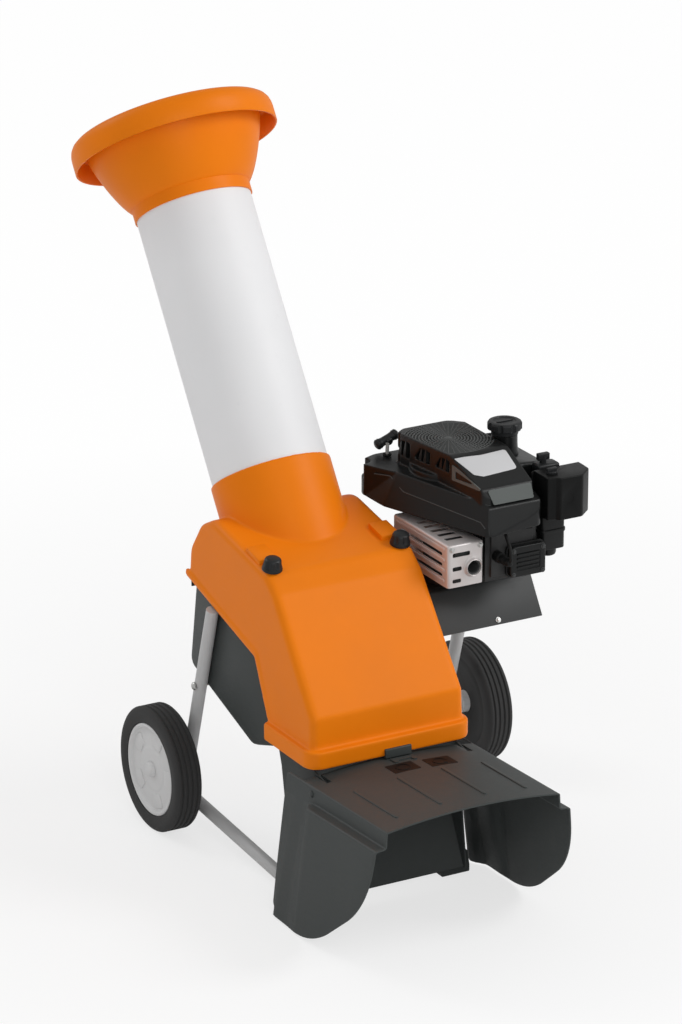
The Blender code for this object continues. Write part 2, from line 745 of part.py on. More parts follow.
def build_throat():
    """Open channel that leads the chips down and forward, with an ear on each side for the flap."""
    notch = FOOT_HEIGHT + 0.005
    ear = ring_points((FLAP_PIVOT_Y, FLAP_PIVOT_Z), 0.012, 7, math.pi / 2, math.pi)
    outline = [(THROAT_FRONT_Y, THROAT_TOP), (THROAT_FRONT_Y, 0.285), *ear,
               (THROAT_EDGE_Y, SPLAY_TOP - 0.006), (THROAT_EDGE_Y, THROAT_BOTTOM),
               (REAR_WALL_END.x, THROAT_BOTTOM), (rear_wall_y(notch), notch),
               (rear_wall_y(notch, FLANK), notch), (rear_wall_y(0.290, FLANK), 0.290),
               (rear_wall_y(THROAT_TOP), THROAT_TOP), tuple(REAR_WALL_TOP),
               (REAR_WALL_TOP.x - 0.02, REAR_WALL_TOP.y)]
    half = THROAT_HALF_WIDTH
    throat = taper(slab("discharge_throat", outline, "X", CHUTE_X - half, CHUTE_X + half), CHUTE_X,
                   throat_width, SPLAY_TOP)
    front = THROAT_FRONT_Y + SHELL_WALL
    channel = [(front, 0.50), (front, MOUTH_TOP), (-0.60, MOUTH_TOP), (-0.60, -0.05),
               (rear_wall_y(-0.05, -SHELL_WALL), -0.05), (rear_wall_y(0.50, -SHELL_WALL), 0.50)]
    skin = 0.0005
    behind = [(rear_wall_y(-0.05, skin), -0.05), (rear_wall_y(0.50, skin), 0.50), (0.0, 0.50), (0.0, -0.05)]
    inner = half - SHELL_WALL
    for points in (channel, behind):
        tool = slab("channel", points, "X", CHUTE_X - inner, CHUTE_X + inner)
        throat = cut(throat, taper(tool, CHUTE_X, throat_width, SPLAY_TOP))
    mouth = rounded_box("mouth", (CHUTE_X - inner, -0.60, MOUTH_TOP - 0.01),
                        (CHUTE_X + inner, THROAT_FRONT_Y, 0.50))
    holes = rod("hole", (CHUTE_X - 0.3, FLAP_PIVOT_Y, FLAP_PIVOT_Z),
                (CHUTE_X + 0.3, FLAP_PIVOT_Y, FLAP_PIVOT_Z), FLAP_PIN_RADIUS + GAP, 16)
    finish(cut(throat, mouth, holes), DARK_PLASTIC, MACHINE)


def offset_loop(points, distance):
    """A closed outline moved sideways, inwards for an outline that runs anticlockwise."""
    moved = []
    count = len(points)
    for index in range(count):
        here = Vector(points[index])
        before = (here - Vector(points[index - 1])).normalized()
        after = (Vector(points[(index + 1) % count]) - here).normalized()
        normal = (Vector((-before.y, before.x)) + Vector((-after.y, after.x))).normalized()
        moved.append(tuple(here + normal * (distance / normal.dot(Vector((-before.y, before.x))))))
    return moved


def strip(path, thickness):
    """Closed outline of a wall whose outer face follows an open path; the wall lies to the path's right."""
    points = [Vector(point) for point in path]
    inner = []
    for index, here in enumerate(points):
        before = (here - points[index - 1]).normalized() if index else None
        after = (points[index + 1] - here).normalized() if index < len(points) - 1 else None
        turns = [Vector((side.y, -side.x)) for side in (before, after) if side is not None]
        normal = sum(turns, Vector((0.0, 0.0))).normalized()
        inner.append(here + normal * (thickness / normal.dot(turns[0])))
    return [tuple(point) for point in points + inner[::-1]]


def flap_section():
    """Half section of the flap from the middle outwards: a cambered top, a step and a splayed cheek."""
    steps = 6
    top = []
    for index in range(steps + 1):
        share = index / steps
        top.append((share * FLAP_TOP_HALF, FLAP_EDGE_Z + FLAP_CAMBER * (1.0 - share ** 2)))
    step_z = FLAP_EDGE_Z - FLAP_STEP
    return top + [(FLAP_TOP_HALF + 0.002, step_z), (FLAP_STEP_HALF - 0.004, step_z - 0.001),
                  (FLAP_STEP_HALF, step_z - 0.005), (FLAP_FOOT_HALF, -0.02)]


def build_flap():
    pivot = new_pivot("flap_pivot", (CHUTE_X, FLAP_PIVOT_Y, FLAP_PIVOT_Z), MACHINE)
    half = flap_section()
    path = [(-x, z) for x, z in half[:0:-1]] + half
    path = [(CHUTE_X + x, z) for x, z in path]
    flap = slab("discharge_flap", strip(path, FLAP_WALL), "Y", FLAP_FRONT_Y - 0.03, CHEEK_BACK_Y + 0.02)
    for vertex in flap.data.vertices:
        vertex.co.z += FLAP_RISE * (FLAP_BACK_Y - vertex.co.y)
    side_view = fillet([(CHEEK_BACK_Y - 0.006, 0.40), (CHEEK_BACK_Y, 0.10),
                        (CHEEK_BACK_Y, CHEEK_BOTTOM, 0.012), (-0.580, CHEEK_BOTTOM - 0.008),
                        (-0.650, CHEEK_BOTTOM - 0.002, 0.060), (-0.778, 0.120, 0.120),
                        (FLAP_FRONT_Y, 0.230), (FLAP_FRONT_Y, 0.40)], 4)
    keep = slab("side view", side_view, "X", CHUTE_X - 0.4, CHUTE_X + 0.4)
    flap = combine(flap, keep, "INTERSECT")
    inner = FLAP_TOP_HALF - FLAP_WALL
    behind = rounded_box("behind", (CHUTE_X - inner, FLAP_BACK_Y, 0.1), (CHUTE_X + inner, 0.0, 0.5))
    flap = cut(flap, behind)
    for side in (-1, 1):
        low, high = sorted((CHUTE_X + side * (THROAT_HALF_WIDTH - SHELL_WALL - 0.004),
                            CHUTE_X + side * (THROAT_HALF_WIDTH + 0.004)))
        flap = cut(flap, rounded_box("slot", (low, FLAP_PIVOT_Y - 0.006, 0.2), (high, 0.0, 0.5)))
    holes = rod("hole", (CHUTE_X - 0.3, FLAP_PIVOT_Y, FLAP_PIVOT_Z),
                (CHUTE_X + 0.3, FLAP_PIVOT_Y, FLAP_PIVOT_Z), FLAP_PIN_RADIUS + GAP, 16)
    finish(cut(flap, holes), DARK_PLASTIC, pivot)
    for name, side in SIDES:
        head = FLAP_TOP_HALF + 0.0015 + GAP
        profile = [(0.0, head + 0.004), (0.005, head + 0.0035), (0.007, head), (FLAP_PIN_RADIUS, head),
                   (FLAP_PIN_RADIUS, THROAT_HALF_WIDTH - 0.007), (0.0, THROAT_HALF_WIDTH - 0.007)]
        finish(turned(f"{name}_flap_pin", profile, 10, (CHUTE_X, FLAP_PIVOT_Y, FLAP_PIVOT_Z), (side, 0, 0)),
               STEEL, MACHINE)


# Hood with its collar, knobs and hopper


def tube_axis():
    return Vector((0.0, math.sin(LEAN), math.cos(LEAN)))


def hood_side_outline():
    """Side view of the hood from the front lip over the panel and the crown to the rear edge."""
    return fillet([(HOOD_FRONT_Y, LIP_BOTTOM), (PANEL_BOTTOM_Y, PANEL_BOTTOM_Z, 0.020),
                   (PANEL_TOP_Y, PANEL_TOP_Z, 0.030), (SHOULDER_Y, SHOULDER_Z, 0.030),
                   (CROWN_Y, CROWN_Z, 0.060), (-0.035, 0.632, 0.030), (0.005, 0.575, 0.040),
                   (HOOD_BACK_Y, HOOD_BACK_Z), (KNEE_Y, KNEE_Z), (-0.312, LIP_TOP + 0.01),
                   (LIP_BACK_Y, LIP_BOTTOM)], 2)


def hood_draft(point):
    return 1.0 + HOOD_DRAFT * (PANEL_TOP_Z - point.z) / (PANEL_TOP_Z - LIP_BOTTOM)


def is_parting_face(face):
    """Faces of the solid hood that its open underside takes away."""
    centre = face.calc_center_median()
    level = abs(face.normal.x) < 0.3
    return level and (face.normal.z < -0.3 or (face.normal.y > 0.3 and centre.z < KNEE_Z + 0.005))


def build_hood(pivot):
    half = HOOD_HALF_WIDTH
    body = slab("hood", hood_side_outline(), "X", CHUTE_X - half, CHUTE_X + half)
    shape = bmesh.new()
    shape.from_mesh(body.data)
    rims = [edge for edge in shape.edges if abs(edge.verts[0].co.x - edge.verts[1].co.x) < 1e-6
            and not any(is_parting_face(face) for face in edge.link_faces)]
    bmesh.ops.bevel(shape, geom=rims, offset=0.014, segments=2, profile=0.5, affect="EDGES")
    shape.to_mesh(body.data)
    shape.free()
    body = taper(body, CHUTE_X, hood_draft)

    lip_half = LIP_HALF_WIDTH
    lip_plan = fillet([(CHUTE_X - lip_half, LIP_BACK_Y, 0.006), (CHUTE_X - lip_half, LIP_FRONT_Y, 0.028),
                       (CHUTE_X + lip_half, LIP_FRONT_Y, 0.028), (CHUTE_X + lip_half, LIP_BACK_Y, 0.006)], 3)
    lip = settle(bevel(slab("lip", lip_plan, "Z", LIP_BOTTOM, LIP_TOP), 0.004, 1, 60.0))
    rim_half = half + 0.008
    rim = slab("rim", [(LIP_BACK_Y - 0.012, LIP_TOP), (KNEE_Y - 0.009, KNEE_Z + 0.012),
                       (HOOD_BACK_Y + 0.004, HOOD_BACK_Z + 0.014), (HOOD_BACK_Y + 0.004, HOOD_BACK_Z),
                       (KNEE_Y, KNEE_Z), (LIP_BACK_Y + 0.006, LIP_TOP)], "X", CHUTE_X - rim_half,
               CHUTE_X + rim_half)
    hood = fuse(body, lip, rim)

    hood = open_shell(hood, SHELL_WALL, is_parting_face)

    axis = tube_axis()
    collar = rod("collar", along(TUBE_BASE, axis, -0.25), TUBE_BASE, HOPPER_TUBE_RADIUS + GAP + COLLAR_WALL,
                 TUBE_STEPS)
    below = rounded_box("below", (CHUTE_X - 0.3, -0.6, 0.0), (CHUTE_X + 0.3, 0.3, COLLAR_BOTTOM))
    hood = fuse(hood, cut(collar, below))
    hood = cut(hood, rod("bore", along(TUBE_BASE, axis, -0.30), along(TUBE_BASE, axis, 0.05),
                         HOPPER_TUBE_RADIUS + GAP, TUBE_STEPS))
    for side in (-1, 1):
        base = knob_base(side)
        boss = rod("boss", along(base, knob_axis(), -BOSS_RISE - 0.006), base, BOSS_RADIUS, 20)
        hole = rod("hole", along(base, knob_axis(), -0.03), along(base, knob_axis(), 0.01),
                   KNOB_STEM_RADIUS + GAP, 16)
        hood = cut(fuse(hood, boss), hole)
    hinge = HINGE_LUG_X
    for side in (-1, 1):
        middle = CHUTE_X + side * hinge
        lug = fillet([(-0.010, HOOD_HINGE_Z - 0.001), (-0.010, HOOD_HINGE_Z + 0.022),
                      (HOOD_HINGE_Y + 0.008, HOOD_HINGE_Z + 0.010, 0.006),
                      (HOOD_HINGE_Y + 0.008, HOOD_HINGE_Z - 0.008, 0.006),
                      (HOOD_HINGE_Y - 0.008, HOOD_HINGE_Z - 0.008, 0.004),
                      (HOOD_HINGE_Y - 0.010, HOOD_HINGE_Z - 0.001)], 3)
        hood = fuse(hood, slab("lug", lug, "X", middle - LUG_WIDTH / 2, middle + LUG_WIDTH / 2))
    bore = rod("bore", (CHUTE_X - 0.3, HOOD_HINGE_Y, HOOD_HINGE_Z),
               (CHUTE_X + 0.3, HOOD_HINGE_Y, HOOD_HINGE_Z), HINGE_PIN_RADIUS + GAP, 16)
    hood = cut(hood, bore)
    clear = DECK_TOP + 0.002
    round_deck = [(0.08, clear), (DECK_FRONT_Y - 0.0015, clear), (SKIRT_END_Y - 0.0045, SKIRT_END_Z - 0.003),
                  (SKIRT_END_Y - 0.007, 0.25), (0.08, 0.25)]
    hood = cut(hood, slab("deck", round_deck, "X", CHUTE_X + 0.05, CHUTE_X + 0.30))
    finish(hood, ORANGE, pivot)

    clip = CLIP_HALF_WIDTH
    inner, outer = LIP_FRONT_Y - GAP, LIP_FRONT_Y - CLIP_THICKNESS
    top, shelf, bottom = LIP_BOTTOM + CLIP_HEIGHT, LIP_BOTTOM - GAP, LIP_BOTTOM - 0.0018
    outline = [(inner, top), (outer + 0.001, top), (outer, top - 0.004), (outer, bottom),
               (inner + 0.022, bottom), (inner + 0.022, shelf), (inner, shelf)]
    finish(slab("lip_clip", outline, "X", CHUTE_X - clip, CHUTE_X + clip), BLACK_PLASTIC, pivot)


def knob_axis():
    """The knobs stand square to the hood's top, which falls towards the front."""
    fall = math.atan2(CROWN_Z - SHOULDER_Z, CROWN_Y - SHOULDER_Y)
    return Vector((0.0, -math.sin(fall), math.cos(fall)))


def knob_base(side):
    height = SHOULDER_Z + (KNOB_Y - SHOULDER_Y) * (CROWN_Z - SHOULDER_Z) / (CROWN_Y - SHOULDER_Y)
    return Vector((CHUTE_X + side * KNOB_SPREAD, KNOB_Y, height)) + knob_axis() * BOSS_RISE


def build_hinge_pin():
    """Pin that the hood's two lugs turn on, with a head outside the right ear."""
    ear_face = HINGE_LUG_X + LUG_WIDTH / 2 + GAP + EAR_THICKNESS + GAP
    pin = [(0.0, ear_face + 0.003), (0.006, ear_face + 0.003), (0.007, ear_face + 0.002), (0.007, ear_face),
           (HINGE_PIN_RADIUS, ear_face), (HINGE_PIN_RADIUS, -ear_face - 0.003), (0.0, -ear_face - 0.003)]
    finish(turned("hood_hinge_pin", pin, 12, (CHUTE_X, HOOD_HINGE_Y, HOOD_HINGE_Z), (1, 0, 0)), STEEL,
           MACHINE)


def build_knobs(hood_pivot):
    for name, side in SIDES:
        base = knob_base(side)
        pivot = new_pivot(f"{name}_knob_pivot", base - hood_pivot.location, hood_pivot)
        radius = KNOB_RADIUS
        profile = [(0.0, KNOB_HEIGHT), (radius * 0.72, KNOB_HEIGHT), (radius * 0.92, KNOB_HEIGHT - 0.004),
                   (radius * 0.92, 0.009), (radius, 0.007), (radius, GAP), (KNOB_STEM_RADIUS, GAP),
                   (KNOB_STEM_RADIUS, -KNOB_STEM_LENGTH), (0.0, -KNOB_STEM_LENGTH)]
        knob = turned(f"{name}_knob", profile, 12, base, knob_axis())
        for index in range(6):
            turn = 2 * math.pi * (index + 0.5) / 6
            spoke = Vector((math.cos(turn), math.sin(turn), 0.0)) * (radius * 1.12)
            spoke.rotate(knob_axis().to_track_quat("Z", "Y"))
            knob = cut(knob, rod("flute", along(base + spoke, knob_axis(), 0.009),
                                 along(base + spoke, knob_axis(), KNOB_HEIGHT + 0.01), radius * 0.30, 8))
        finish(knob, BLACK_PLASTIC, pivot)


def build_lock_posts():
    """Posts on the deck that the knobs' screws run into."""
    for name, side in SIDES:
        top = along(knob_base(side), knob_axis(), -KNOB_STEM_LENGTH - GAP)
        foot = along(top, knob_axis(), -(top.z - DECK_TOP) / knob_axis().z)
        post = rod(f"{name}_lock_post", along(foot, knob_axis(), -0.01), top, POST_RADIUS, 12)
        under = rounded_box("under", (foot.x - 0.03, foot.y - 0.03, DECK_TOP - 0.03),
                            (foot.x + 0.03, foot.y + 0.03, DECK_TOP + GAP))
        finish(cut(post, under), STEEL, MACHINE)


def build_hopper(pivot):
    axis = tube_axis()
    low, high = -TUBE_TUCK, HOPPER_TUBE_LENGTH + NECK_LENGTH * 0.5
    inner = HOPPER_TUBE_RADIUS - HOPPER_TUBE_WALL
    ring = [(HOPPER_TUBE_RADIUS, high), (HOPPER_TUBE_RADIUS, low), (inner, low), (inner, high)]
    finish(turned("hopper_tube", ring, TUBE_STEPS, TUBE_BASE, axis, closed=True), TUBE_SILVER, pivot)

    base = HOPPER_TUBE_LENGTH
    neck = HOPPER_TUBE_RADIUS + GAP
    wall = SHELL_WALL
    step = NECK_LENGTH * 0.5 + GAP
    bowl = [(neck + wall, 0.0), (neck + wall, NECK_LENGTH), (0.1345, 0.045), (0.1495, 0.075),
            (0.1615, 0.105), (0.1735, 0.148), (0.1765, HOPPER_HEIGHT - 0.012)]
    rim = RIM_OUTER_RADIUS
    brim = [(rim - 0.0055, HOPPER_HEIGHT - 0.014), (rim - 0.0035, 0.124), (rim, 0.124),
            (rim, HOPPER_HEIGHT - 0.028), (rim - RIM_ROUND, HOPPER_HEIGHT - RIM_ROUND),
            (rim - 0.018, HOPPER_HEIGHT), (0.1745, HOPPER_HEIGHT)]
    inside = [(0.1705, 0.148), (0.1585, 0.105), (0.1465, 0.076), (0.1315, 0.047), (0.112, 0.0285),
              (0.112, step), (neck, step), (neck, 0.0)]
    profile = (bowl + brim + inside)[::-1]
    shifted = [(radius, height + base) for radius, height in profile]
    finish(turned("hopper", shifted, TUBE_STEPS, TUBE_BASE, axis, closed=True), ORANGE, pivot)


# Cutting unit: shaft, disc, knives and the chamber round them


def build_cutting_unit():
    pivot = new_pivot("blade_pivot", (CHUTE_X, BLADE_SHAFT_Y, DISC_BOTTOM), MACHINE)
    centre = Vector((CHUTE_X, BLADE_SHAFT_Y, 0.0))
    flange = DISC_BOTTOM - GAP
    bolt_bore = DISC_BOLT_RADIUS + GAP
    low = PULLEY_FLOOR_Z - 0.006
    shaft = [(0.0, flange - 0.020), (bolt_bore, flange - 0.020), (bolt_bore, flange),
             (SHAFT_FLANGE_RADIUS, flange), (SHAFT_FLANGE_RADIUS, flange - SHEET),
             (SHAFT_RADIUS, flange - SHEET), (SHAFT_RADIUS, low), (0.0, low)]
    finish(turned("blade_shaft", shaft, 16, centre), STEEL, pivot)

    top = DISC_BOTTOM + DISC_THICKNESS
    disc = rod("blade_disc", (*centre.xy, DISC_BOTTOM), (*centre.xy, top), DISC_RADIUS, 36)
    disc = cut(disc, rod("hole", (*centre.xy, DISC_BOTTOM - 0.01), (*centre.xy, top + 0.01), bolt_bore, 16))
    for index in range(2):
        slot = rounded_box("slot", (KNIFE_START + 0.012, KNIFE_WIDTH / 2 - 0.004, DISC_BOTTOM - 0.01),
                           (KNIFE_END - 0.004, KNIFE_WIDTH / 2 + 0.012, top + 0.01))
        slot.data.transform(Matrix.Translation(centre) @ Matrix.Rotation(math.pi * index, 4, "Z"))
        disc = cut(disc, slot)
    finish(disc, DARK_STEEL, pivot)

    knife_low = top + GAP
    half = KNIFE_WIDTH / 2
    for index, name in enumerate(("first", "second")):
        section = [(-half, knife_low), (half - 0.001, knife_low), (half, knife_low + 0.0008),
                   (half - 0.009, knife_low + KNIFE_THICKNESS), (-half, knife_low + KNIFE_THICKNESS)]
        knife = slab(f"{name}_knife", section, "X", KNIFE_START, KNIFE_END)
        knife.data.transform(Matrix.Translation(centre) @ Matrix.Rotation(math.pi * index, 4, "Z"))
        finish(knife, BLADE_STEEL, pivot)

    head = top + GAP
    bolt = [(0.0, head + 0.007), (0.0075, head + 0.007), (0.009, head + 0.0055), (0.009, head + 0.002),
            (0.014, head + 0.002), (0.014, head), (DISC_BOLT_RADIUS, head),
            (DISC_BOLT_RADIUS, flange - 0.018), (0.0, flange - 0.018)]
    finish(turned("disc_bolt", bolt, 10, centre), STEEL, pivot)

    steps = 16
    start, sweep = math.radians(-25), math.radians(230)
    outer = ring_points(centre, CHAMBER_RADIUS + CHAMBER_WALL, steps, start, sweep)
    inner = ring_points(centre, CHAMBER_RADIUS, steps, start, sweep)
    ring_top = COLLAR_BOTTOM - 0.003
    finish(slab("chamber_ring", outer + inner[::-1], "Z", DECK_TOP + GAP, ring_top), DARK_STEEL, MACHINE)
    return pivot


def build_counter_blade(pivot):
    """Steel bar under the collar that the knives cut against."""
    y = TUBE_BASE.y - (TUBE_BASE.z - COLLAR_BOTTOM) * math.tan(LEAN)
    half = HOPPER_TUBE_RADIUS + GAP + COLLAR_WALL
    low, high = COLLAR_BOTTOM - GAP - COUNTER_BLADE_HEIGHT, COLLAR_BOTTOM - GAP
    section = [(y - COUNTER_BLADE_WIDTH / 2, high), (y + COUNTER_BLADE_WIDTH / 2, high),
               (y + COUNTER_BLADE_WIDTH / 2, low), (y - COUNTER_BLADE_WIDTH / 2 + 0.004, low),
               (y - COUNTER_BLADE_WIDTH / 2, low + 0.003)]
    finish(slab("counter_blade", section, "X", CHUTE_X - half, CHUTE_X + half), BLADE_STEEL, pivot)


def build_bearings():
    centre = (CHUTE_X, BLADE_SHAFT_Y, 0.0)
    top = DECK_TOP - SHEET - GAP
    low = top - BEARING_HOUSING_DEPTH
    bore = BEARING_RADIUS + GAP
    body = BEARING_RADIUS + BEARING_HOUSING_WALL
    housing = [(BEARING_FLANGE_RADIUS, top), (BEARING_FLANGE_RADIUS, top - 0.006), (body, top - 0.006),
               (body, low), (bore, low), (bore, top)]
    finish(turned("bearing_housing", housing, 20, centre, closed=True), CAST_METAL, MACHINE)
    for name, base in (("upper", top - BEARING_WIDTH), ("lower", low)):
        ring = [(BEARING_RADIUS, base + BEARING_WIDTH), (BEARING_RADIUS, base), (SHAFT_RADIUS + GAP, base),
                (SHAFT_RADIUS + GAP, base + BEARING_WIDTH)]
        finish(turned(f"{name}_bearing", ring, 16, centre, closed=True), STEEL, MACHINE)


# Belt drive


def pulley_profile(root, bore):
    floor = PULLEY_FLOOR_Z
    height = 2 * PULLEY_CHEEK + BELT_WIDTH + 2 * GAP
    rim = root + CHEEK_RISE
    return [(rim, floor + height), (root, floor + height - PULLEY_CHEEK), (root, floor + PULLEY_CHEEK),
            (rim, floor), (bore, floor), (bore, floor + height)]


def build_belt_drive(blade_pivot, crank_pivot):
    blade_centre = Vector((CHUTE_X, BLADE_SHAFT_Y, 0.0))
    crank_centre = Vector((ENGINE_X, ENGINE_Y, 0.0))
    finish(turned("blade_pulley", pulley_profile(BLADE_PULLEY_ROOT, SHAFT_RADIUS + GAP), 24, blade_centre,
                  closed=True), CAST_METAL, blade_pivot)
    finish(turned("crank_pulley", pulley_profile(CRANK_PULLEY_ROOT, CRANK_RADIUS + GAP), 20, crank_centre,
                  closed=True), CAST_METAL, crank_pivot)

    low = PULLEY_FLOOR_Z + PULLEY_CHEEK + GAP
    seat = [flats_clear(root, 2 * BELT_ARC_STEPS) for root in (BLADE_PULLEY_ROOT, CRANK_PULLEY_ROOT)]
    loops = [belt_loop(blade_centre, seat[0] + depth, crank_centre, seat[1] + depth)
             for depth in (BELT_DEPTH, 0.0)]
    finish(slab("drive_belt", loops, "Z", low, low + BELT_WIDTH), TYRE_RUBBER, MACHINE)

    room = BELT_DEPTH + BELT_GUARD_ROOM
    left = HOUSING_RIGHT_X + GAP
    outside = guard_outline(crank_centre, CRANK_PULLEY_ROOT + room + BELT_GUARD_WALL, left)
    inside = guard_outline(crank_centre, CRANK_PULLEY_ROOT + room, left - 0.02)
    floor = PULLEY_FLOOR_Z - 0.012
    guard = slab("belt_guard", outside, "Z", floor, DECK_TOP - SHEET - GAP)
    finish(cut(guard, slab("room", inside, "Z", floor + BELT_GUARD_WALL, DECK_TOP)), DARK_PLASTIC, MACHINE)


def belt_loop(first, first_radius, second, second_radius):
    """Outline of a belt round two pulleys: two arcs joined by the straight runs that touch both."""
    span = (second - first).xy
    heading = math.atan2(span.y, span.x)
    lean = math.acos((first_radius - second_radius) / span.length)
    round_first = ring_points(first, first_radius, BELT_ARC_STEPS, heading + lean, 2 * (math.pi - lean))
    round_second = ring_points(second, second_radius, BELT_ARC_STEPS, heading - lean, 2 * lean)
    return round_first + round_second


def guard_outline(centre, radius, left):
    """Plan of the belt guard: a straight trough with a round end about the crank pulley."""
    end = ring_points(centre, radius, 9, -math.pi / 2, math.pi)
    spread = BLADE_PULLEY_ROOT - CRANK_PULLEY_ROOT
    return end + [(left, centre.y + radius + spread + 0.004), (left, centre.y - radius)]


# Engine block, crankshaft and flywheel


def build_engine():
    pivot = new_pivot("crank_pivot", (ENGINE_X, ENGINE_Y, DECK_TOP), MACHINE)
    centre = Vector((ENGINE_X, ENGINE_Y, 0.0))
    base = DECK_TOP + GAP
    core_left, core_right = CYLINDER_LEFT_X + FIN_DEPTH, CYLINDER_RIGHT_X - FIN_DEPTH
    core_low, core_high = CYLINDER_BOTTOM + FIN_DEPTH, CYLINDER_TOP - FIN_DEPTH
    sump = [(0.0, CASE_TOP), (CASE_RADIUS - 0.006, CASE_TOP), (CASE_RADIUS, CASE_TOP - 0.006),
            (CASE_RADIUS, SUMP_TOP + 0.012), (SUMP_RADIUS - 0.010, SUMP_TOP + 0.008),
            (SUMP_RADIUS - 0.002, SUMP_TOP), (SUMP_RADIUS, SUMP_TOP - 0.004), (SUMP_RADIUS, base),
            (0.0, base)]
    block = turned("engine_block", sump, 24, centre)
    block = fuse(block, rounded_box("barrel", (core_left, CYLINDER_FRONT_Y, core_low),
                                    (core_right, ENGINE_Y, core_high)))
    first = CYLINDER_FRONT_Y + FIN_PITCH * 0.6
    for index in range(5):
        y = first + FIN_PITCH * index
        fin = rounded_box("fin", (CYLINDER_LEFT_X, y, CYLINDER_BOTTOM),
                          (CYLINDER_RIGHT_X, y + FIN_THICKNESS, CYLINDER_TOP))
        block = fuse(block, fin)
    bore = rod("bore", (*centre.xy, base - 0.01), (*centre.xy, CASE_TOP + 0.01), CRANK_RADIUS + GAP, 16)
    finish(cut(block, bore), CAST_METAL, MACHINE)

    head_back = CYLINDER_FRONT_Y - GAP
    head = rounded_box("cylinder_head", (core_left, HEAD_FRONT_Y, core_low - 0.004),
                       (core_right, head_back, core_high + 0.004))
    for index in range(4):
        y = HEAD_FRONT_Y + 0.006 + FIN_PITCH * index * 1.1
        head = fuse(head, rounded_box("fin", (CYLINDER_LEFT_X, y, CYLINDER_BOTTOM - 0.003),
                                      (CYLINDER_RIGHT_X, y + FIN_THICKNESS, CYLINDER_TOP)))
    finish(head, CAST_METAL, MACHINE)

    cover_left, cover_right = 0.194, core_right + 0.020
    back = HEAD_FRONT_Y - GAP
    cover = rounded_box("valve_cover", (cover_left, back - VALVE_COVER_DEPTH, CYLINDER_BOTTOM + 0.002),
                        (cover_right, back, 0.612), 0.004, 2)
    for index in range(4):
        z = CYLINDER_BOTTOM + 0.012 + 0.012 * index
        rib = rounded_box("rib", (cover_left + 0.008, back - VALVE_COVER_DEPTH - 0.002, z),
                          (cover_right - 0.008, back - 0.004, z + 0.003))
        cover = fuse(cover, rib)
    finish(cover, BLACK_PLASTIC, MACHINE)

    plug_x, plug_z = CYLINDER_LEFT_X + FIN_DEPTH + 0.012, (CYLINDER_BOTTOM + CYLINDER_TOP) / 2
    plug = [(0.0, 0.052), (0.004, 0.052), (0.0085, 0.048), (0.0095, 0.020), (0.011, 0.018), (0.011, 0.0),
            (0.0, 0.0)]
    finish(turned("spark_plug", plug, 10, (plug_x, back, plug_z), (0.0, -1.0, 0.0)), BLACK_PLASTIC, MACHINE)

    low = PULLEY_FLOOR_Z - 0.005
    seat = FLYWHEEL_BOTTOM - GAP
    shaft = [(0.0, CRANK_TOP), (CRANK_END_RADIUS, CRANK_TOP), (CRANK_END_RADIUS, seat),
             (CRANK_RADIUS, seat), (CRANK_RADIUS, low), (0.0, low)]
    finish(turned("crankshaft", shaft, 16, centre), STEEL, pivot)

    high = FLYWHEEL_BOTTOM + FLYWHEEL_THICKNESS
    wheel = [(FLYWHEEL_RADIUS, high), (FLYWHEEL_RADIUS, FLYWHEEL_BOTTOM),
             (CRANK_END_RADIUS + GAP, FLYWHEEL_BOTTOM), (CRANK_END_RADIUS + GAP, high + 0.012),
             (0.020, high + 0.012), (0.020, high)]
    flywheel = turned("flywheel", wheel, 24, centre, closed=True)
    for index in range(FLYWHEEL_BLADES):
        fan = rounded_box("fan", (0.045, -0.0012, high - 0.002),
                          (FLYWHEEL_RADIUS - 0.002, 0.0012, high + 0.030))
        turn = Matrix.Rotation(2 * math.pi * index / FLYWHEEL_BLADES, 4, "Z")
        fan.data.transform(Matrix.Translation(centre) @ turn)
        flywheel = fuse(flywheel, fan)
    finish(flywheel, CAST_METAL, pivot)
    return pivot


# Engine cover


def cover_base_plan():
    """Plan of the cover's lower tier: a nose at the front, a round back and a lobe for the starter."""
    rear = ring_points((ENGINE_X, ENGINE_Y), 0.138, 6, math.radians(62), math.radians(34))
    return fillet([(0.1245, -0.425, 0.016), (0.2545, -0.409, 0.016), (0.2545, -0.330, 0.010),
                   (COVER_RIGHT_X, -0.318, 0.006), (COVER_RIGHT_X, -0.100, 0.012), *rear,
                   (0.080, -0.066, 0.020), (0.038, -0.092, 0.022), (0.038, -0.176, 0.022)], 3)


def cover_top_plan():
    """Plan of the upper tier: the round grille with straight sides running to the nose."""
    left = ring_points((ENGINE_X, ENGINE_Y), 0.102, 12, math.radians(54), math.radians(140))
    return left + fillet([(0.1355, -0.392, 0.012), (0.2460, -0.392, 0.012),
                          (COVER_RIGHT_X - 0.001, ENGINE_Y + 0.066)], 3)


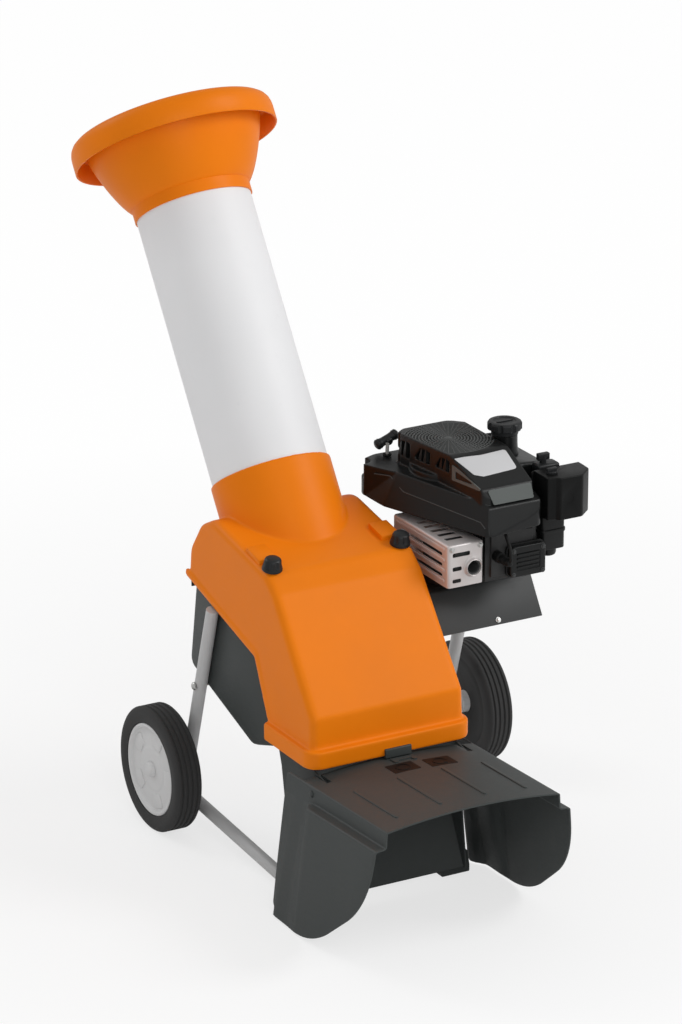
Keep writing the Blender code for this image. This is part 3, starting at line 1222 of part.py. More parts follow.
def cover_solid(name, inset):
    """The cover as a solid of two tiers, or the room inside it at an inset."""
    floor = COVER_BOTTOM - 2 * inset
    below = COVER_BOTTOM - 0.015
    lower = slab(name, offset_loop(cover_base_plan(), inset), "Z", floor, COVER_TIER)
    upper = slab("upper", offset_loop(cover_top_plan(), inset), "Z", floor + 0.001, COVER_TOP + 0.01)
    low_view = fillet([(-0.03, COVER_TIER - 0.002), (-0.03, below), (-0.431, below),
                       (-0.401, COVER_TIER - 0.018, 0.004), (-0.383, COVER_TIER - 0.010, 0.010),
                       (-0.20, COVER_TIER - 0.004)], 2)
    high_view = fillet([(-0.03, COVER_TIER), (-0.03, below), (-0.430, below),
                        (-0.383, COVER_TIER + 0.015, 0.010), (-0.288, COVER_TOP, 0.030),
                        (-0.108, COVER_TOP, 0.010), (-0.085, COVER_TIER + 0.030)], 2)
    lower = combine(lower, slab("view", offset_loop(low_view, -inset), "X", -0.1, 0.4), "INTERSECT")
    upper = combine(upper, slab("view", offset_loop(high_view, -inset), "X", -0.1, 0.4), "INTERSECT")
    return fuse(lower, upper)


def build_cover():
    """Shell over the flywheel with a round grille, standing on the cylinder's fins by two posts."""
    shell = cut(cover_solid("engine_cover", 0.0), cover_solid("room", COVER_WALL))
    pitch = (GRILLE_RADIUS - GRILLE_HUB) / GRILLE_RINGS
    reach = COVER_RIGHT_X - ENGINE_X - 0.008
    for ring in range(GRILLE_RINGS):
        outer = GRILLE_RADIUS - pitch * ring
        inner = outer - pitch * 0.6
        free = math.acos(min(1.0, reach / outer))
        span = (2 * math.pi - 2 * free) / 3
        sweep = span - GRILLE_BAR / outer
        for index in range(3):
            start = free + span * index + GRILLE_BAR / outer / 2
            slot = (ring_points((ENGINE_X, ENGINE_Y), outer, 8, start, sweep)
                    + ring_points((ENGINE_X, ENGINE_Y), inner, 8, start, sweep)[::-1])
            shell = cut(shell, slab("slot", slot, "Z", COVER_TOP - 0.012, COVER_TOP + 0.01))
    for x in COVER_POSTS_X:
        seat = (x, COVER_POST_Y, CYLINDER_TOP + GAP)
        post = rod("post", (x, COVER_POST_Y, COVER_BOTTOM), (x, COVER_POST_Y, COVER_TOP),
                   COVER_POST_RADIUS, 10)
        post = combine(post, cover_solid("inside", COVER_WALL / 2), "INTERSECT")
        foot = rod("foot", seat, (x, COVER_POST_Y, COVER_BOTTOM + 0.006), COVER_POST_RADIUS + 0.001, 10)
        shell = fuse(shell, fuse(post, foot))
    finish(shell, BLACK_PLASTIC, MACHINE)


# Fuel tank, air filter, muffler and starter


def tank_body(name, inset):
    """The tank's rounded block, or the room inside it at an inset."""
    left, right = COVER_RIGHT_X + 0.003 + inset, TANK_RIGHT_X - inset
    front, back = TANK_FRONT_Y + inset, TANK_BACK_Y - inset
    plan = fillet([(left, front, 0.010 - inset), (right, front, 0.025 - inset),
                   (right, back, 0.030 - inset), (left, back, 0.010 - inset)], 3)
    block = slab(name, plan, "Z", TANK_BOTTOM + inset, TANK_TOP - inset)
    return settle(bevel(block, 0.008 - inset * (2 - math.sqrt(2)), 1, 60.0))


def build_fuel_tank():
    tank = tank_body("fuel_tank", 0.0)
    room = tank_body("room", SHELL_WALL)
    bore = FUEL_NECK_RADIUS - FUEL_NECK_WALL
    neck_top = FUEL_CAP_TOP - 0.012
    neck = rod("neck", (FUEL_NECK_X, FUEL_NECK_Y, TANK_TOP - 0.010), (FUEL_NECK_X, FUEL_NECK_Y, neck_top),
               FUEL_NECK_RADIUS, 18)
    saddle = rod("saddle", (FUEL_NECK_X, FUEL_NECK_Y, TANK_TOP - 0.010),
                 (FUEL_NECK_X, FUEL_NECK_Y, TANK_TOP + 0.014), FUEL_NECK_RADIUS + 0.002, 18)
    hole = rod("hole", (FUEL_NECK_X, FUEL_NECK_Y, TANK_TOP - 0.02),
               (FUEL_NECK_X, FUEL_NECK_Y, neck_top + 0.02), bore, 18)
    tank = cut(fuse(tank, neck, saddle), hole, room)
    seat = CYLINDER_TOP - FIN_DEPTH + GAP
    arm = rounded_box("arm", (ENGINE_X + CASE_RADIUS + GAP, ENGINE_Y - 0.014, seat),
                      (FUEL_NECK_X, ENGINE_Y + 0.014, seat + 0.012))
    post = rounded_box("post", (TANK_RIGHT_X - 0.075, ENGINE_Y - 0.014, CASE_TOP - 0.010),
                       (FUEL_NECK_X, ENGINE_Y + 0.014, TANK_BOTTOM + 0.001))
    finish(fuse(tank, fuse(arm, post)), BLACK_PLASTIC, MACHINE)

    pivot = new_pivot("fuel_cap_pivot", (FUEL_NECK_X, FUEL_NECK_Y, FUEL_CAP_TOP), MACHINE)
    low = FUEL_CAP_TOP - FUEL_CAP_HEIGHT
    skirt = flats_clear(FUEL_NECK_RADIUS, 16)
    ceiling = neck_top + GAP
    profile = [(0.0, FUEL_CAP_TOP), (FUEL_CAP_RADIUS - 0.004, FUEL_CAP_TOP),
               (FUEL_CAP_RADIUS, FUEL_CAP_TOP - 0.003), (FUEL_CAP_RADIUS, low + 0.006),
               (FUEL_CAP_RADIUS - 0.004, low), (skirt, low), (skirt, ceiling), (0.0, ceiling)]
    cap = turned("fuel_cap", profile, 16, (FUEL_NECK_X, FUEL_NECK_Y, 0.0))
    for index in range(8):
        turn = 2 * math.pi * index / 8
        x = FUEL_NECK_X + (FUEL_CAP_RADIUS + 0.004) * math.cos(turn)
        y = FUEL_NECK_Y + (FUEL_CAP_RADIUS + 0.004) * math.sin(turn)
        cap = cut(cap, rod("scallop", (x, y, low - 0.01), (x, y, FUEL_CAP_TOP + 0.01), 0.0075, 8))
    finish(cap, BLACK_PLASTIC, pivot)


def build_air_filter():
    left, right = FILTER_LEFT_X, FILTER_RIGHT_X
    outline = [(left, FILTER_BACK_Y), (left, FILTER_FRONT_Y + 0.012, 0.004),
               (left + 0.016, FILTER_FRONT_Y + 0.008, 0.004), (left + 0.022, FILTER_FRONT_Y, 0.004),
               (right - 0.030, FILTER_FRONT_Y, 0.012), (right, FILTER_FRONT_Y + 0.026, 0.012),
               (right, FILTER_BACK_Y)]
    cover = slab("air_filter_cover", fillet(outline, 3), "Z", FILTER_BOTTOM, FILTER_TOP)
    cover = settle(bevel(cover, 0.005, 1, 60.0))
    wall = 0.0025
    room = rounded_box("room", (left + wall, FILTER_FRONT_Y + 0.030, FILTER_BOTTOM + 0.006),
                       (right - wall, FILTER_BACK_Y + 0.02, FILTER_TOP - 0.006))
    knob_x, knob_y = left + 0.022, FILTER_BACK_Y - 0.030
    hole = rod("hole", (knob_x, knob_y, FILTER_TOP - 0.02), (knob_x, knob_y, FILTER_TOP + 0.01),
               0.004 + GAP, 14)
    finish(cut(cover, room, hole), BLACK_PLASTIC, MACHINE)

    back = FILTER_BACK_Y + GAP
    base = rounded_box("air_filter_base", (left - 0.002, back, FILTER_BOTTOM - 0.004),
                       (right - 0.004, back + 0.010, FILTER_TOP - 0.004), 0.003, 1)
    finish(base, BLACK_PLASTIC, MACHINE)
    front = FILTER_FRONT_Y + 0.030 + 0.004
    element = rounded_box("filter_element", (left + 0.030, front, FILTER_BOTTOM + 0.010),
                          (right - 0.010, FILTER_BACK_Y, FILTER_TOP - 0.010), 0.003, 1)
    finish(element, FOAM, MACHINE)
    carburettor = rounded_box("carburettor", (left + 0.006, back + 0.010 + GAP, 0.595),
                              (left + 0.046, TANK_FRONT_Y - 0.003, 0.700), 0.003, 1)
    intake_y = CYLINDER_FRONT_Y + 0.004
    carburettor = fuse(carburettor, rod("intake", (CYLINDER_RIGHT_X + GAP, intake_y, 0.610),
                                        (left + 0.020, intake_y, 0.610), 0.011, 14))
    finish(carburettor, CAST_METAL, MACHINE)

    pivot = new_pivot("filter_knob_pivot", (knob_x, knob_y, FILTER_TOP), MACHINE)
    top = FILTER_TOP + GAP
    profile = [(0.0, top + 0.006), (FILTER_KNOB_RADIUS - 0.001, top + 0.006),
               (FILTER_KNOB_RADIUS, top + 0.004), (FILTER_KNOB_RADIUS, top), (0.004, top),
               (0.004, top - 0.005), (0.0, top - 0.005)]
    knob = turned("filter_knob", profile, 12, (knob_x, knob_y, 0.0))
    bar = rounded_box("bar", (knob_x - 0.013, knob_y - 0.004, top + 0.003),
                      (knob_x + 0.013, knob_y + 0.004, top + 0.016), 0.002, 1)
    finish(fuse(knob, bar), BLACK_PLASTIC, pivot)


def build_muffler():
    left, right, front, back = MUFFLER_LEFT_X, MUFFLER_RIGHT_X, MUFFLER_FRONT_Y, MUFFLER_BACK_Y
    corner = [(left, front), (right, front), (right, front + 0.130), (right - 0.026, front + 0.150),
              (right - 0.026, back), (left, back)]
    sheet = GUARD_SHEET
    guard = slab("muffler_guard", corner, "Z", MUFFLER_BOTTOM - 0.01, MUFFLER_TOP)
    guard = settle(bevel(guard, 0.004, 1, 50.0))
    guard = cut(guard, rounded_box("below", (left - 0.02, front - 0.02, MUFFLER_BOTTOM - 0.02),
                                   (right + 0.02, back + 0.02, MUFFLER_BOTTOM)))
    guard = open_shell(guard, sheet, lambda face: face.normal.z < -0.9)
    for level in range(3):
        z = MUFFLER_BOTTOM + 0.018 + 0.021 * level
        guard = cut(guard, rounded_box("slot", (left - 0.01, front + 0.022, z),
                                       (left + 0.01, back - 0.030, z + 0.006)))
    for index in range(5):
        y = front + 0.030 + 0.026 * index
        guard = cut(guard, rounded_box("slot", (left + 0.016, y, MUFFLER_TOP - 0.01),
                                       (left + 0.050, y + 0.012, MUFFLER_TOP + 0.01)))
    for x, z, width in ((left + 0.008, OUTLET_Z + 0.026, 0.036), (left + 0.008, OUTLET_Z - 0.002, 0.020),
                        (left + 0.008, OUTLET_Z - 0.026, 0.018)):
        guard = cut(guard, rounded_box("slot", (x, front - 0.01, z), (x + width, front + 0.008, z + 0.007)))
    outlet = rod("outlet", (OUTLET_X, front - 0.02, OUTLET_Z), (OUTLET_X, front + 0.02, OUTLET_Z),
                 OUTLET_RADIUS + 0.001, 18)
    side_open = rounded_box("side", (right - 0.01, front + 0.052, MUFFLER_BOTTOM - 0.01),
                            (right + 0.01, front + 0.118, MUFFLER_TOP - 0.016))
    finish(cut(guard, outlet, side_open), BRIGHT_STEEL, MACHINE)

    body_top = MUFFLER_TOP - sheet - 0.008
    body = rounded_box("muffler", (left + 0.008, front + 0.008, MUFFLER_BOTTOM + 0.006),
                       (right - 0.008, back - 0.040 - 0.030, body_top), 0.012, 1)
    pad = rod("pad", (left + 0.056, front + 0.070, body_top - 0.01),
              (left + 0.056, front + 0.070, MUFFLER_TOP - sheet - GAP), 0.006, 12)
    pipe = rod("pipe", (right - 0.014, front + 0.085, 0.595), (CYLINDER_LEFT_X - GAP, front + 0.085, 0.595),
               0.011, 16)
    stub = rod("stub", (OUTLET_X, front + 0.02, OUTLET_Z), (OUTLET_X, front - 0.003, OUTLET_Z),
               OUTLET_RADIUS, 18)
    bore = rod("bore", (OUTLET_X, front + 0.03, OUTLET_Z), (OUTLET_X, front - 0.02, OUTLET_Z),
               OUTLET_RADIUS - 0.003, 18)
    finish(cut(fuse(body, pad, pipe, stub), bore), DARK_STEEL, MACHINE)


def build_starter():
    """Pull grip of the recoil starter, resting against the back of the cover's lobe."""
    pivot = new_pivot("starter_pivot", (GRIP_X, GRIP_Y, GRIP_Z), MACHINE)
    half = GRIP_LENGTH / 2
    bar = [(0.0, half), (GRIP_RADIUS * 0.7, half), (GRIP_RADIUS, half - 0.004), (GRIP_RADIUS * 0.85, 0.012),
           (GRIP_RADIUS * 0.85, -0.012), (GRIP_RADIUS, 0.004 - half), (GRIP_RADIUS * 0.7, -half),
           (0.0, -half)]
    grip = turned("starter_grip", bar, 10, (GRIP_X, GRIP_Y, GRIP_Z), (1.0, 0.0, 0.35))
    stem = rod("stem", (GRIP_X, GRIP_Y - 0.022, GRIP_Z), (GRIP_X, GRIP_Y, GRIP_Z), 0.0055, 12)
    finish(fuse(grip, stem), BLACK_PLASTIC, pivot)


# Assembly


clear_scene()
PARTS = new_collection("garden_shredder")
MACHINE = new_object("machine", None)

TUBE_PAINT = new_material("light grey tube paint", (0.42, 0.43, 0.43), 0.40)
DARK_PLASTIC = new_material("dark grey plastic", (0.070, 0.075, 0.072), 0.55)
BLACK_PLASTIC = new_material("black plastic", (0.025, 0.025, 0.026), 0.45)
ORANGE = new_material("orange plastic", (0.87, 0.19, 0.0), 0.38)
TUBE_SILVER = new_material("silver tube", (0.62, 0.63, 0.64), 0.35, 0.4)
STEEL = new_material("zinc plated steel", (0.55, 0.55, 0.54), 0.35, 1.0)
BLADE_STEEL = new_material("blade steel", (0.60, 0.60, 0.60), 0.25, 1.0)
BRIGHT_STEEL = new_material("bright sheet steel", (0.62, 0.59, 0.58), 0.30, 1.0)
DARK_STEEL = new_material("painted steel", (0.030, 0.030, 0.032), 0.45)
CAST_METAL = new_material("cast aluminium", (0.20, 0.20, 0.20), 0.55, 0.7)
TYRE_RUBBER = new_material("black rubber", (0.030, 0.032, 0.032), 0.75)
RIM_PLASTIC = new_material("light grey plastic", (0.47, 0.47, 0.46), 0.50)
FOAM = new_material("filter foam", (0.25, 0.22, 0.12), 0.95)

build_frame()
build_axle()
for side_name, side_sign in SIDES:
    build_wheel(side_name, side_sign)
build_deck()
build_lower_housing()
build_throat()
build_flap()
hood_hinge = new_pivot("hood_hinge", (CHUTE_X, HOOD_HINGE_Y, HOOD_HINGE_Z), MACHINE)
build_hood(hood_hinge)
build_hinge_pin()
build_knobs(hood_hinge)
build_lock_posts()
build_hopper(hood_hinge)
build_counter_blade(hood_hinge)
blade_pivot = build_cutting_unit()
build_bearings()
crank_pivot = build_engine()
build_belt_drive(blade_pivot, crank_pivot)
build_cover()
build_fuel_tank()
build_air_filter()
build_muffler()
build_starter()

# The middle of the footprint, between the flap's front edge and the hopper's rim, is the origin
rim_height = HOPPER_TUBE_LENGTH + HOPPER_HEIGHT - RIM_ROUND
rim_reach = rim_height * math.sin(LEAN) + (RIM_OUTER_RADIUS - RIM_ROUND) * math.cos(LEAN)
MACHINE.location.y = -(FLAP_FRONT_Y + TUBE_BASE.y + rim_reach) / 2
bpy.context.view_layer.update()
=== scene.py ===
"""Looks of a garden shredder with a petrol engine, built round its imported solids.

Sizes are in metres, and in millimetres inside mm(). They are read from the middle of the axle's line:
x = 0 between the wheels, y = 0 just in front of the axle and z = 0 on the ground. Chips leave towards -Y
and the engine stands at +X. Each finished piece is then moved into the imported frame, which has its
origin in the middle of the footprint.
"""
import json
import logging
import math
from contextlib import contextmanager
from dataclasses import dataclass, field
from enum import Enum
from itertools import pairwise
from typing import Callable, Iterator, Mapping, Sequence

import bmesh
import bpy
from mathutils import Matrix, Vector


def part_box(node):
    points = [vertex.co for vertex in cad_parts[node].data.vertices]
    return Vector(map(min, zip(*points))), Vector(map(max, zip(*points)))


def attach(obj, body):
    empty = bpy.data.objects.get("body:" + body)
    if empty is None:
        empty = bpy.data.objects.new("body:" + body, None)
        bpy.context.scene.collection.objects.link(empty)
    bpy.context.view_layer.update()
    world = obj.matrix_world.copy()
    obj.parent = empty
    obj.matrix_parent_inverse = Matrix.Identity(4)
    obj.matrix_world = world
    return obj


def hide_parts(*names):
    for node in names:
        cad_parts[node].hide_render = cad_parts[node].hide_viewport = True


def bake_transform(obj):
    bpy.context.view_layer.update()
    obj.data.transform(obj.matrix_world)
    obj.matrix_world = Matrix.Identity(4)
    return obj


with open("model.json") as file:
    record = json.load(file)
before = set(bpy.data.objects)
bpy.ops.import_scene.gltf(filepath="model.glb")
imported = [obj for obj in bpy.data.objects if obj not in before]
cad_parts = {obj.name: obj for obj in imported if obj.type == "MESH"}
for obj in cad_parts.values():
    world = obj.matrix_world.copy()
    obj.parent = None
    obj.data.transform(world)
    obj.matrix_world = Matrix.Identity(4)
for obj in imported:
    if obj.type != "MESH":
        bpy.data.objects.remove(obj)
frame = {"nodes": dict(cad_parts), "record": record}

LOG = logging.getLogger("garden_shredder")

Point2 = tuple[float, float]
Colour = tuple[float, float, float]
Item = bpy.types.Object

AXLE_Y = 0.0124
CHUTE_X = -0.127
SIDES = (("left", -1), ("right", 1))
TUBE_LEAN = math.radians(34.2)
TUBE_BASE = Vector((CHUTE_X, -0.029, 0.709))
TUBE_AIM = Vector((0.0, math.sin(TUBE_LEAN), math.cos(TUBE_LEAN)))
TUBE_RADIUS = 0.1145


# Shader graphs


class Wire:
    """An output socket on which Python's operators add Math nodes."""

    def __init__(self, graph: "Graph", socket: bpy.types.NodeSocket) -> None:
        """Hold a socket."""
        self.graph = graph
        self.socket = socket

    def _math(self, operation: str, first: object, second: object) -> "Wire":
        """Add one Math node."""
        return self.graph.add("ShaderNodeMath", {"operation": operation}, {0: first, 1: second})

    def __add__(self, other: object) -> "Wire":
        """Return self + other."""
        return self._math("ADD", self, other)

    def __sub__(self, other: object) -> "Wire":
        """Return self - other."""
        return self._math("SUBTRACT", self, other)

    def __mul__(self, other: object) -> "Wire":
        """Return self * other."""
        return self._math("MULTIPLY", self, other)

    def held(self) -> "Wire":
        """Return self held between 0 and 1."""
        return self._math("MINIMUM", self._math("MAXIMUM", self, 0.0), 1.0)


class Graph:
    """A node tree under construction."""

    def __init__(self, tree: bpy.types.NodeTree) -> None:
        """Work on a tree."""
        self.tree = tree

    def add(self, kind: str, settings: Mapping[str, object] | None = None,
            inputs: Mapping[object, object] | None = None, out: object = 0) -> Wire:
        """Add a node, with its settings made before its sockets are filled.

        Args:
            kind: The node's type name.
            settings: Properties of the node; stops gives a ramp's (position, grey) pairs.
            inputs: Values or Wires by socket name or number.
            out: Name or number of the output to return.

        Returns:
            The chosen output.
        """
        node = self.tree.nodes.new(kind)
        for key, value in (settings or {}).items():
            if key == "stops":
                self._stops(node, value)
            else:
                setattr(node, key, value)
        for key, value in (inputs or {}).items():
            self.feed(node.inputs[key], value)
        return Wire(self, node.outputs[out])

    @staticmethod
    def _stops(node: bpy.types.Node, stops: Sequence[tuple[float, float]]) -> None:
        """Give a ramp its stops.

        Args:
            node: A Color Ramp node.
            stops: Two or more (position, grey) pairs.
        """
        elements = node.color_ramp.elements
        while len(elements) < len(stops):
            elements.new(0.5)
        for element, (position, grey) in zip(elements, stops):
            element.position = position
            element.color = (grey, grey, grey, 1.0)

    def feed(self, socket: bpy.types.NodeSocket, value: object) -> None:
        """Link a Wire to a socket, or set the socket's value.

        Args:
            socket: The input socket.
            value: A Wire, a number or a tuple.
        """
        if isinstance(value, Wire):
            self.tree.links.new(value.socket, socket)
        elif isinstance(value, tuple) and len(value) == 3 and socket.type == "RGBA":
            socket.default_value = (*value, 1.0)
        else:
            socket.default_value = value


class Recipe(Graph):
    """One material's nodes round a Principled shader."""

    def __init__(self, name: str) -> None:
        """Start a material with one Principled shader.

        Args:
            name: The material's name.
        """
        self.material = bpy.data.materials.new(name)
        self.material.use_nodes = True
        super().__init__(self.material.node_tree)
        self.shader = self.tree.nodes["Principled BSDF"]

    def place(self) -> Wire:
        """Return the surface point in metres, in the piece's own coordinates."""
        return self.add("ShaderNodeTexCoord", out="Object")

    def stretched(self, scale: tuple[float, float, float]) -> Wire:
        """Return the surface point stretched along the axes."""
        return self.add("ShaderNodeMapping", {}, {"Vector": self.place(), "Scale": scale}, "Vector")

    def noise(self, scale: float, detail: float = 3.0, where: Wire | None = None,
            roughness: float = 0.5) -> Wire:
        """Add a noise."""
        return self.add("ShaderNodeTexNoise", {}, {"Vector": where or self.place(), "Scale": scale,
            "Detail": detail, "Roughness": roughness}, "Fac")

    def blend(self, share: object, low: object, high: object) -> Wire:
        """Mix two colours."""
        first, second, result = 6, 7, 2
        return self.add("ShaderNodeMix", {"data_type": "RGBA"}, {0: share, first: low, second: high},
            result)

    def facing_up(self) -> Wire:
        """Return 1 on faces that look up, and 0 on upright ones and undersides."""
        normal = self.add("ShaderNodeNewGeometry", out="Normal")
        return self.add("ShaderNodeSeparateXYZ", {}, {0: normal}, "Z").held()

    def bump(self, height: Wire, depth: float, strength: float = 1.0) -> None:
        """Feed the shader's normal from a height."""
        normal = self.add("ShaderNodeBump", {}, {"Height": height, "Distance": depth, "Strength": strength},
            "Normal")
        self.feed(self.shader.inputs["Normal"], normal)

    def surface(self, colour: object, roughness: object, metallic: object) -> None:
        """Feed the three main inputs of the shader.

        Args:
            colour: Base colour.
            roughness: Roughness.
            metallic: Metallic share.
        """
        self.feed(self.shader.inputs["Base Color"], colour)
        self.feed(self.shader.inputs["Roughness"], roughness)
        self.feed(self.shader.inputs["Metallic"], metallic)


def shade(colour: Colour, factor: float) -> Colour:
    """Return a colour made lighter or darker."""
    return tuple(min(1.0, channel * factor) for channel in colour)


# Finishes


@dataclass(frozen=True)
class Finish:
    """What every finish has: a name, the record's slot, and its plain colour and gloss."""

    name: str
    slot: str
    colour: Colour
    roughness: float
    coat: float = 0.0
    specular: float = 0.5

    def make(self) -> bpy.types.Material:
        """Return the finish's material, made once."""
        found = bpy.data.materials.get(self.name)
        if found is not None:
            return found
        recipe = Recipe(self.name)
        self.dress(recipe)
        for socket, value in (("Coat Weight", self.coat), ("Coat Roughness", 0.18),
                ("Specular IOR Level", self.specular)):
            recipe.shader.inputs[socket].default_value = value
        recipe.material.diffuse_color = (*self.colour, 1.0)
        return recipe.material

    def dress(self, recipe: Recipe) -> None:
        """Build the node tree."""
        raise NotImplementedError


@dataclass(frozen=True)
class Moulded(Finish):
    """Moulded plastic: fine grain, faint flow clouds and a little dust on what looks up."""

    grain: float = 1500.0
    grain_depth: float = 0.00005
    dust: float = 0.05

    def dress(self, recipe: Recipe) -> None:
        """Build the node tree.

        Args:
            recipe: The material.
        """
        cloud = recipe.noise(7.0, 4.0)
        grain = recipe.noise(self.grain, 2.0)
        scuff = recipe.noise(60.0, 6.0, recipe.stretched((1.0, 1.0, 3.5)), 0.7)
        tone = recipe.blend(cloud, shade(self.colour, 0.93), shade(self.colour, 1.06))
        dusty = recipe.facing_up() * scuff * self.dust
        colour = recipe.blend(dusty.held(), tone, (0.42, 0.4, 0.37))
        wear = (scuff - 0.5) * 0.16 + (cloud - 0.5) * 0.1
        recipe.surface(colour, (wear + self.roughness).held(), 0.0)
        recipe.bump(grain * 0.7 + scuff * 0.3, self.grain_depth)


@dataclass(frozen=True)
class Painted(Finish):
    """Paint on metal: orange peel, small dulled patches and a share of metal flake."""

    metallic: float = 0.0
    peel: float = 380.0

    def dress(self, recipe: Recipe) -> None:
        """Build the node tree.

        Args:
            recipe: The material.
        """
        peel = recipe.noise(self.peel, 2.0)
        cloud = recipe.noise(5.0, 3.0)
        rubbed = recipe.add("ShaderNodeValToRGB", {"stops": ((0.62, 0.0), (0.72, 1.0))},
            {"Fac": recipe.noise(38.0, 7.0, None, 0.72)}, "Color")
        tone = recipe.blend(cloud, shade(self.colour, 0.96), shade(self.colour, 1.04))
        colour = recipe.blend(rubbed * 0.16, tone, shade(self.colour, 0.8))
        recipe.surface(colour, (rubbed * 0.12 + (cloud - 0.5) * 0.08 + self.roughness).held(),
            self.metallic)
        recipe.bump(peel, 0.00004)


@dataclass(frozen=True)
class BareMetal(Finish):
    """Bare metal drawn or ground along one axis."""

    run: tuple[float, float, float] = (1.0, 1.0, 0.04)
    tint: Colour = (0.55, 0.47, 0.4)
    stain: float = 0.15
    metallic: float = 1.0

    def dress(self, recipe: Recipe) -> None:
        """Build the node tree.

        Args:
            recipe: The material.
        """
        streak = recipe.noise(900.0, 4.0, recipe.stretched(self.run), 0.65)
        patch = recipe.noise(22.0, 5.0)
        tone = recipe.blend(streak, shade(self.colour, 0.86), shade(self.colour, 1.1))
        stained = recipe.add("ShaderNodeValToRGB", {"stops": ((0.5, 0.0), (0.75, 1.0))}, {"Fac": patch},
            "Color")
        colour = recipe.blend(stained * self.stain, tone, self.tint)
        recipe.surface(colour, ((streak - 0.5) * 0.22 + stained * 0.1 + self.roughness).held(),
            self.metallic)
        recipe.bump(streak, 0.00003)


@dataclass(frozen=True)
class CastMetal(Finish):
    """Rough cast metal with a sandy skin and darker hollows."""

    metallic: float = 0.75

    def dress(self, recipe: Recipe) -> None:
        """Build the node tree.

        Args:
            recipe: The material.
        """
        sand = recipe.noise(700.0, 4.0, None, 0.7)
        patch = recipe.noise(30.0, 4.0)
        tone = recipe.blend(patch, shade(self.colour, 0.75), shade(self.colour, 1.2))
        colour = recipe.blend(sand * 0.35, tone, shade(self.colour, 0.6))
        recipe.surface(colour, ((sand - 0.5) * 0.25 + self.roughness).held(), self.metallic)
        recipe.bump(sand, 0.00012)


@dataclass(frozen=True)
class Rubber(Finish):
    """Solid rubber: fine matt skin, a faint grey bloom and fine darker specks."""

    bloom: float = 0.3

    def dress(self, recipe: Recipe) -> None:
        """Build the node tree.

        Args:
            recipe: The material.
        """
        skin = recipe.noise(900.0, 3.0)
        patch = recipe.noise(18.0, 5.0, None, 0.6)
        tone = recipe.blend(patch * self.bloom, self.colour, shade(self.colour, 2.4))
        colour = recipe.blend(skin * 0.15, tone, shade(self.colour, 0.5))
        recipe.surface(colour, ((patch - 0.5) * 0.2 + self.roughness).held(), 0.0)
        recipe.bump(skin, 0.00006)


@dataclass(frozen=True)
class Foam(Finish):
    """Open foam of a filter element."""

    def dress(self, recipe: Recipe) -> None:
        """Build the node tree.

        Args:
            recipe: The material.
        """
        cells = recipe.add("ShaderNodeTexVoronoi", {}, {"Vector": recipe.place(), "Scale": 550.0},
            "Distance")
        colour = recipe.blend(cells, shade(self.colour, 0.35), shade(self.colour, 1.3))
        recipe.surface(colour, self.roughness, 0.0)
        recipe.bump(cells, 0.0006)


@dataclass(frozen=True)
class Braid(Finish):
    """Braided cord: two families of strands that cross round it."""

    pitch: float = 900.0

    def dress(self, recipe: Recipe) -> None:
        """Build the node tree.

        Args:
            recipe: The material.
        """
        wave = recipe.add("ShaderNodeTexWave", {"wave_type": "BANDS", "bands_direction": "DIAGONAL"},
            {"Vector": recipe.place(), "Scale": self.pitch, "Distortion": 1.5}, "Fac")
        fray = recipe.noise(1800.0, 2.0)
        colour = recipe.blend(wave, shade(self.colour, 0.45), shade(self.colour, 1.3))
        recipe.surface(colour, (fray * 0.2 + self.roughness).held(), 0.0)
        recipe.bump(wave, 0.0003)


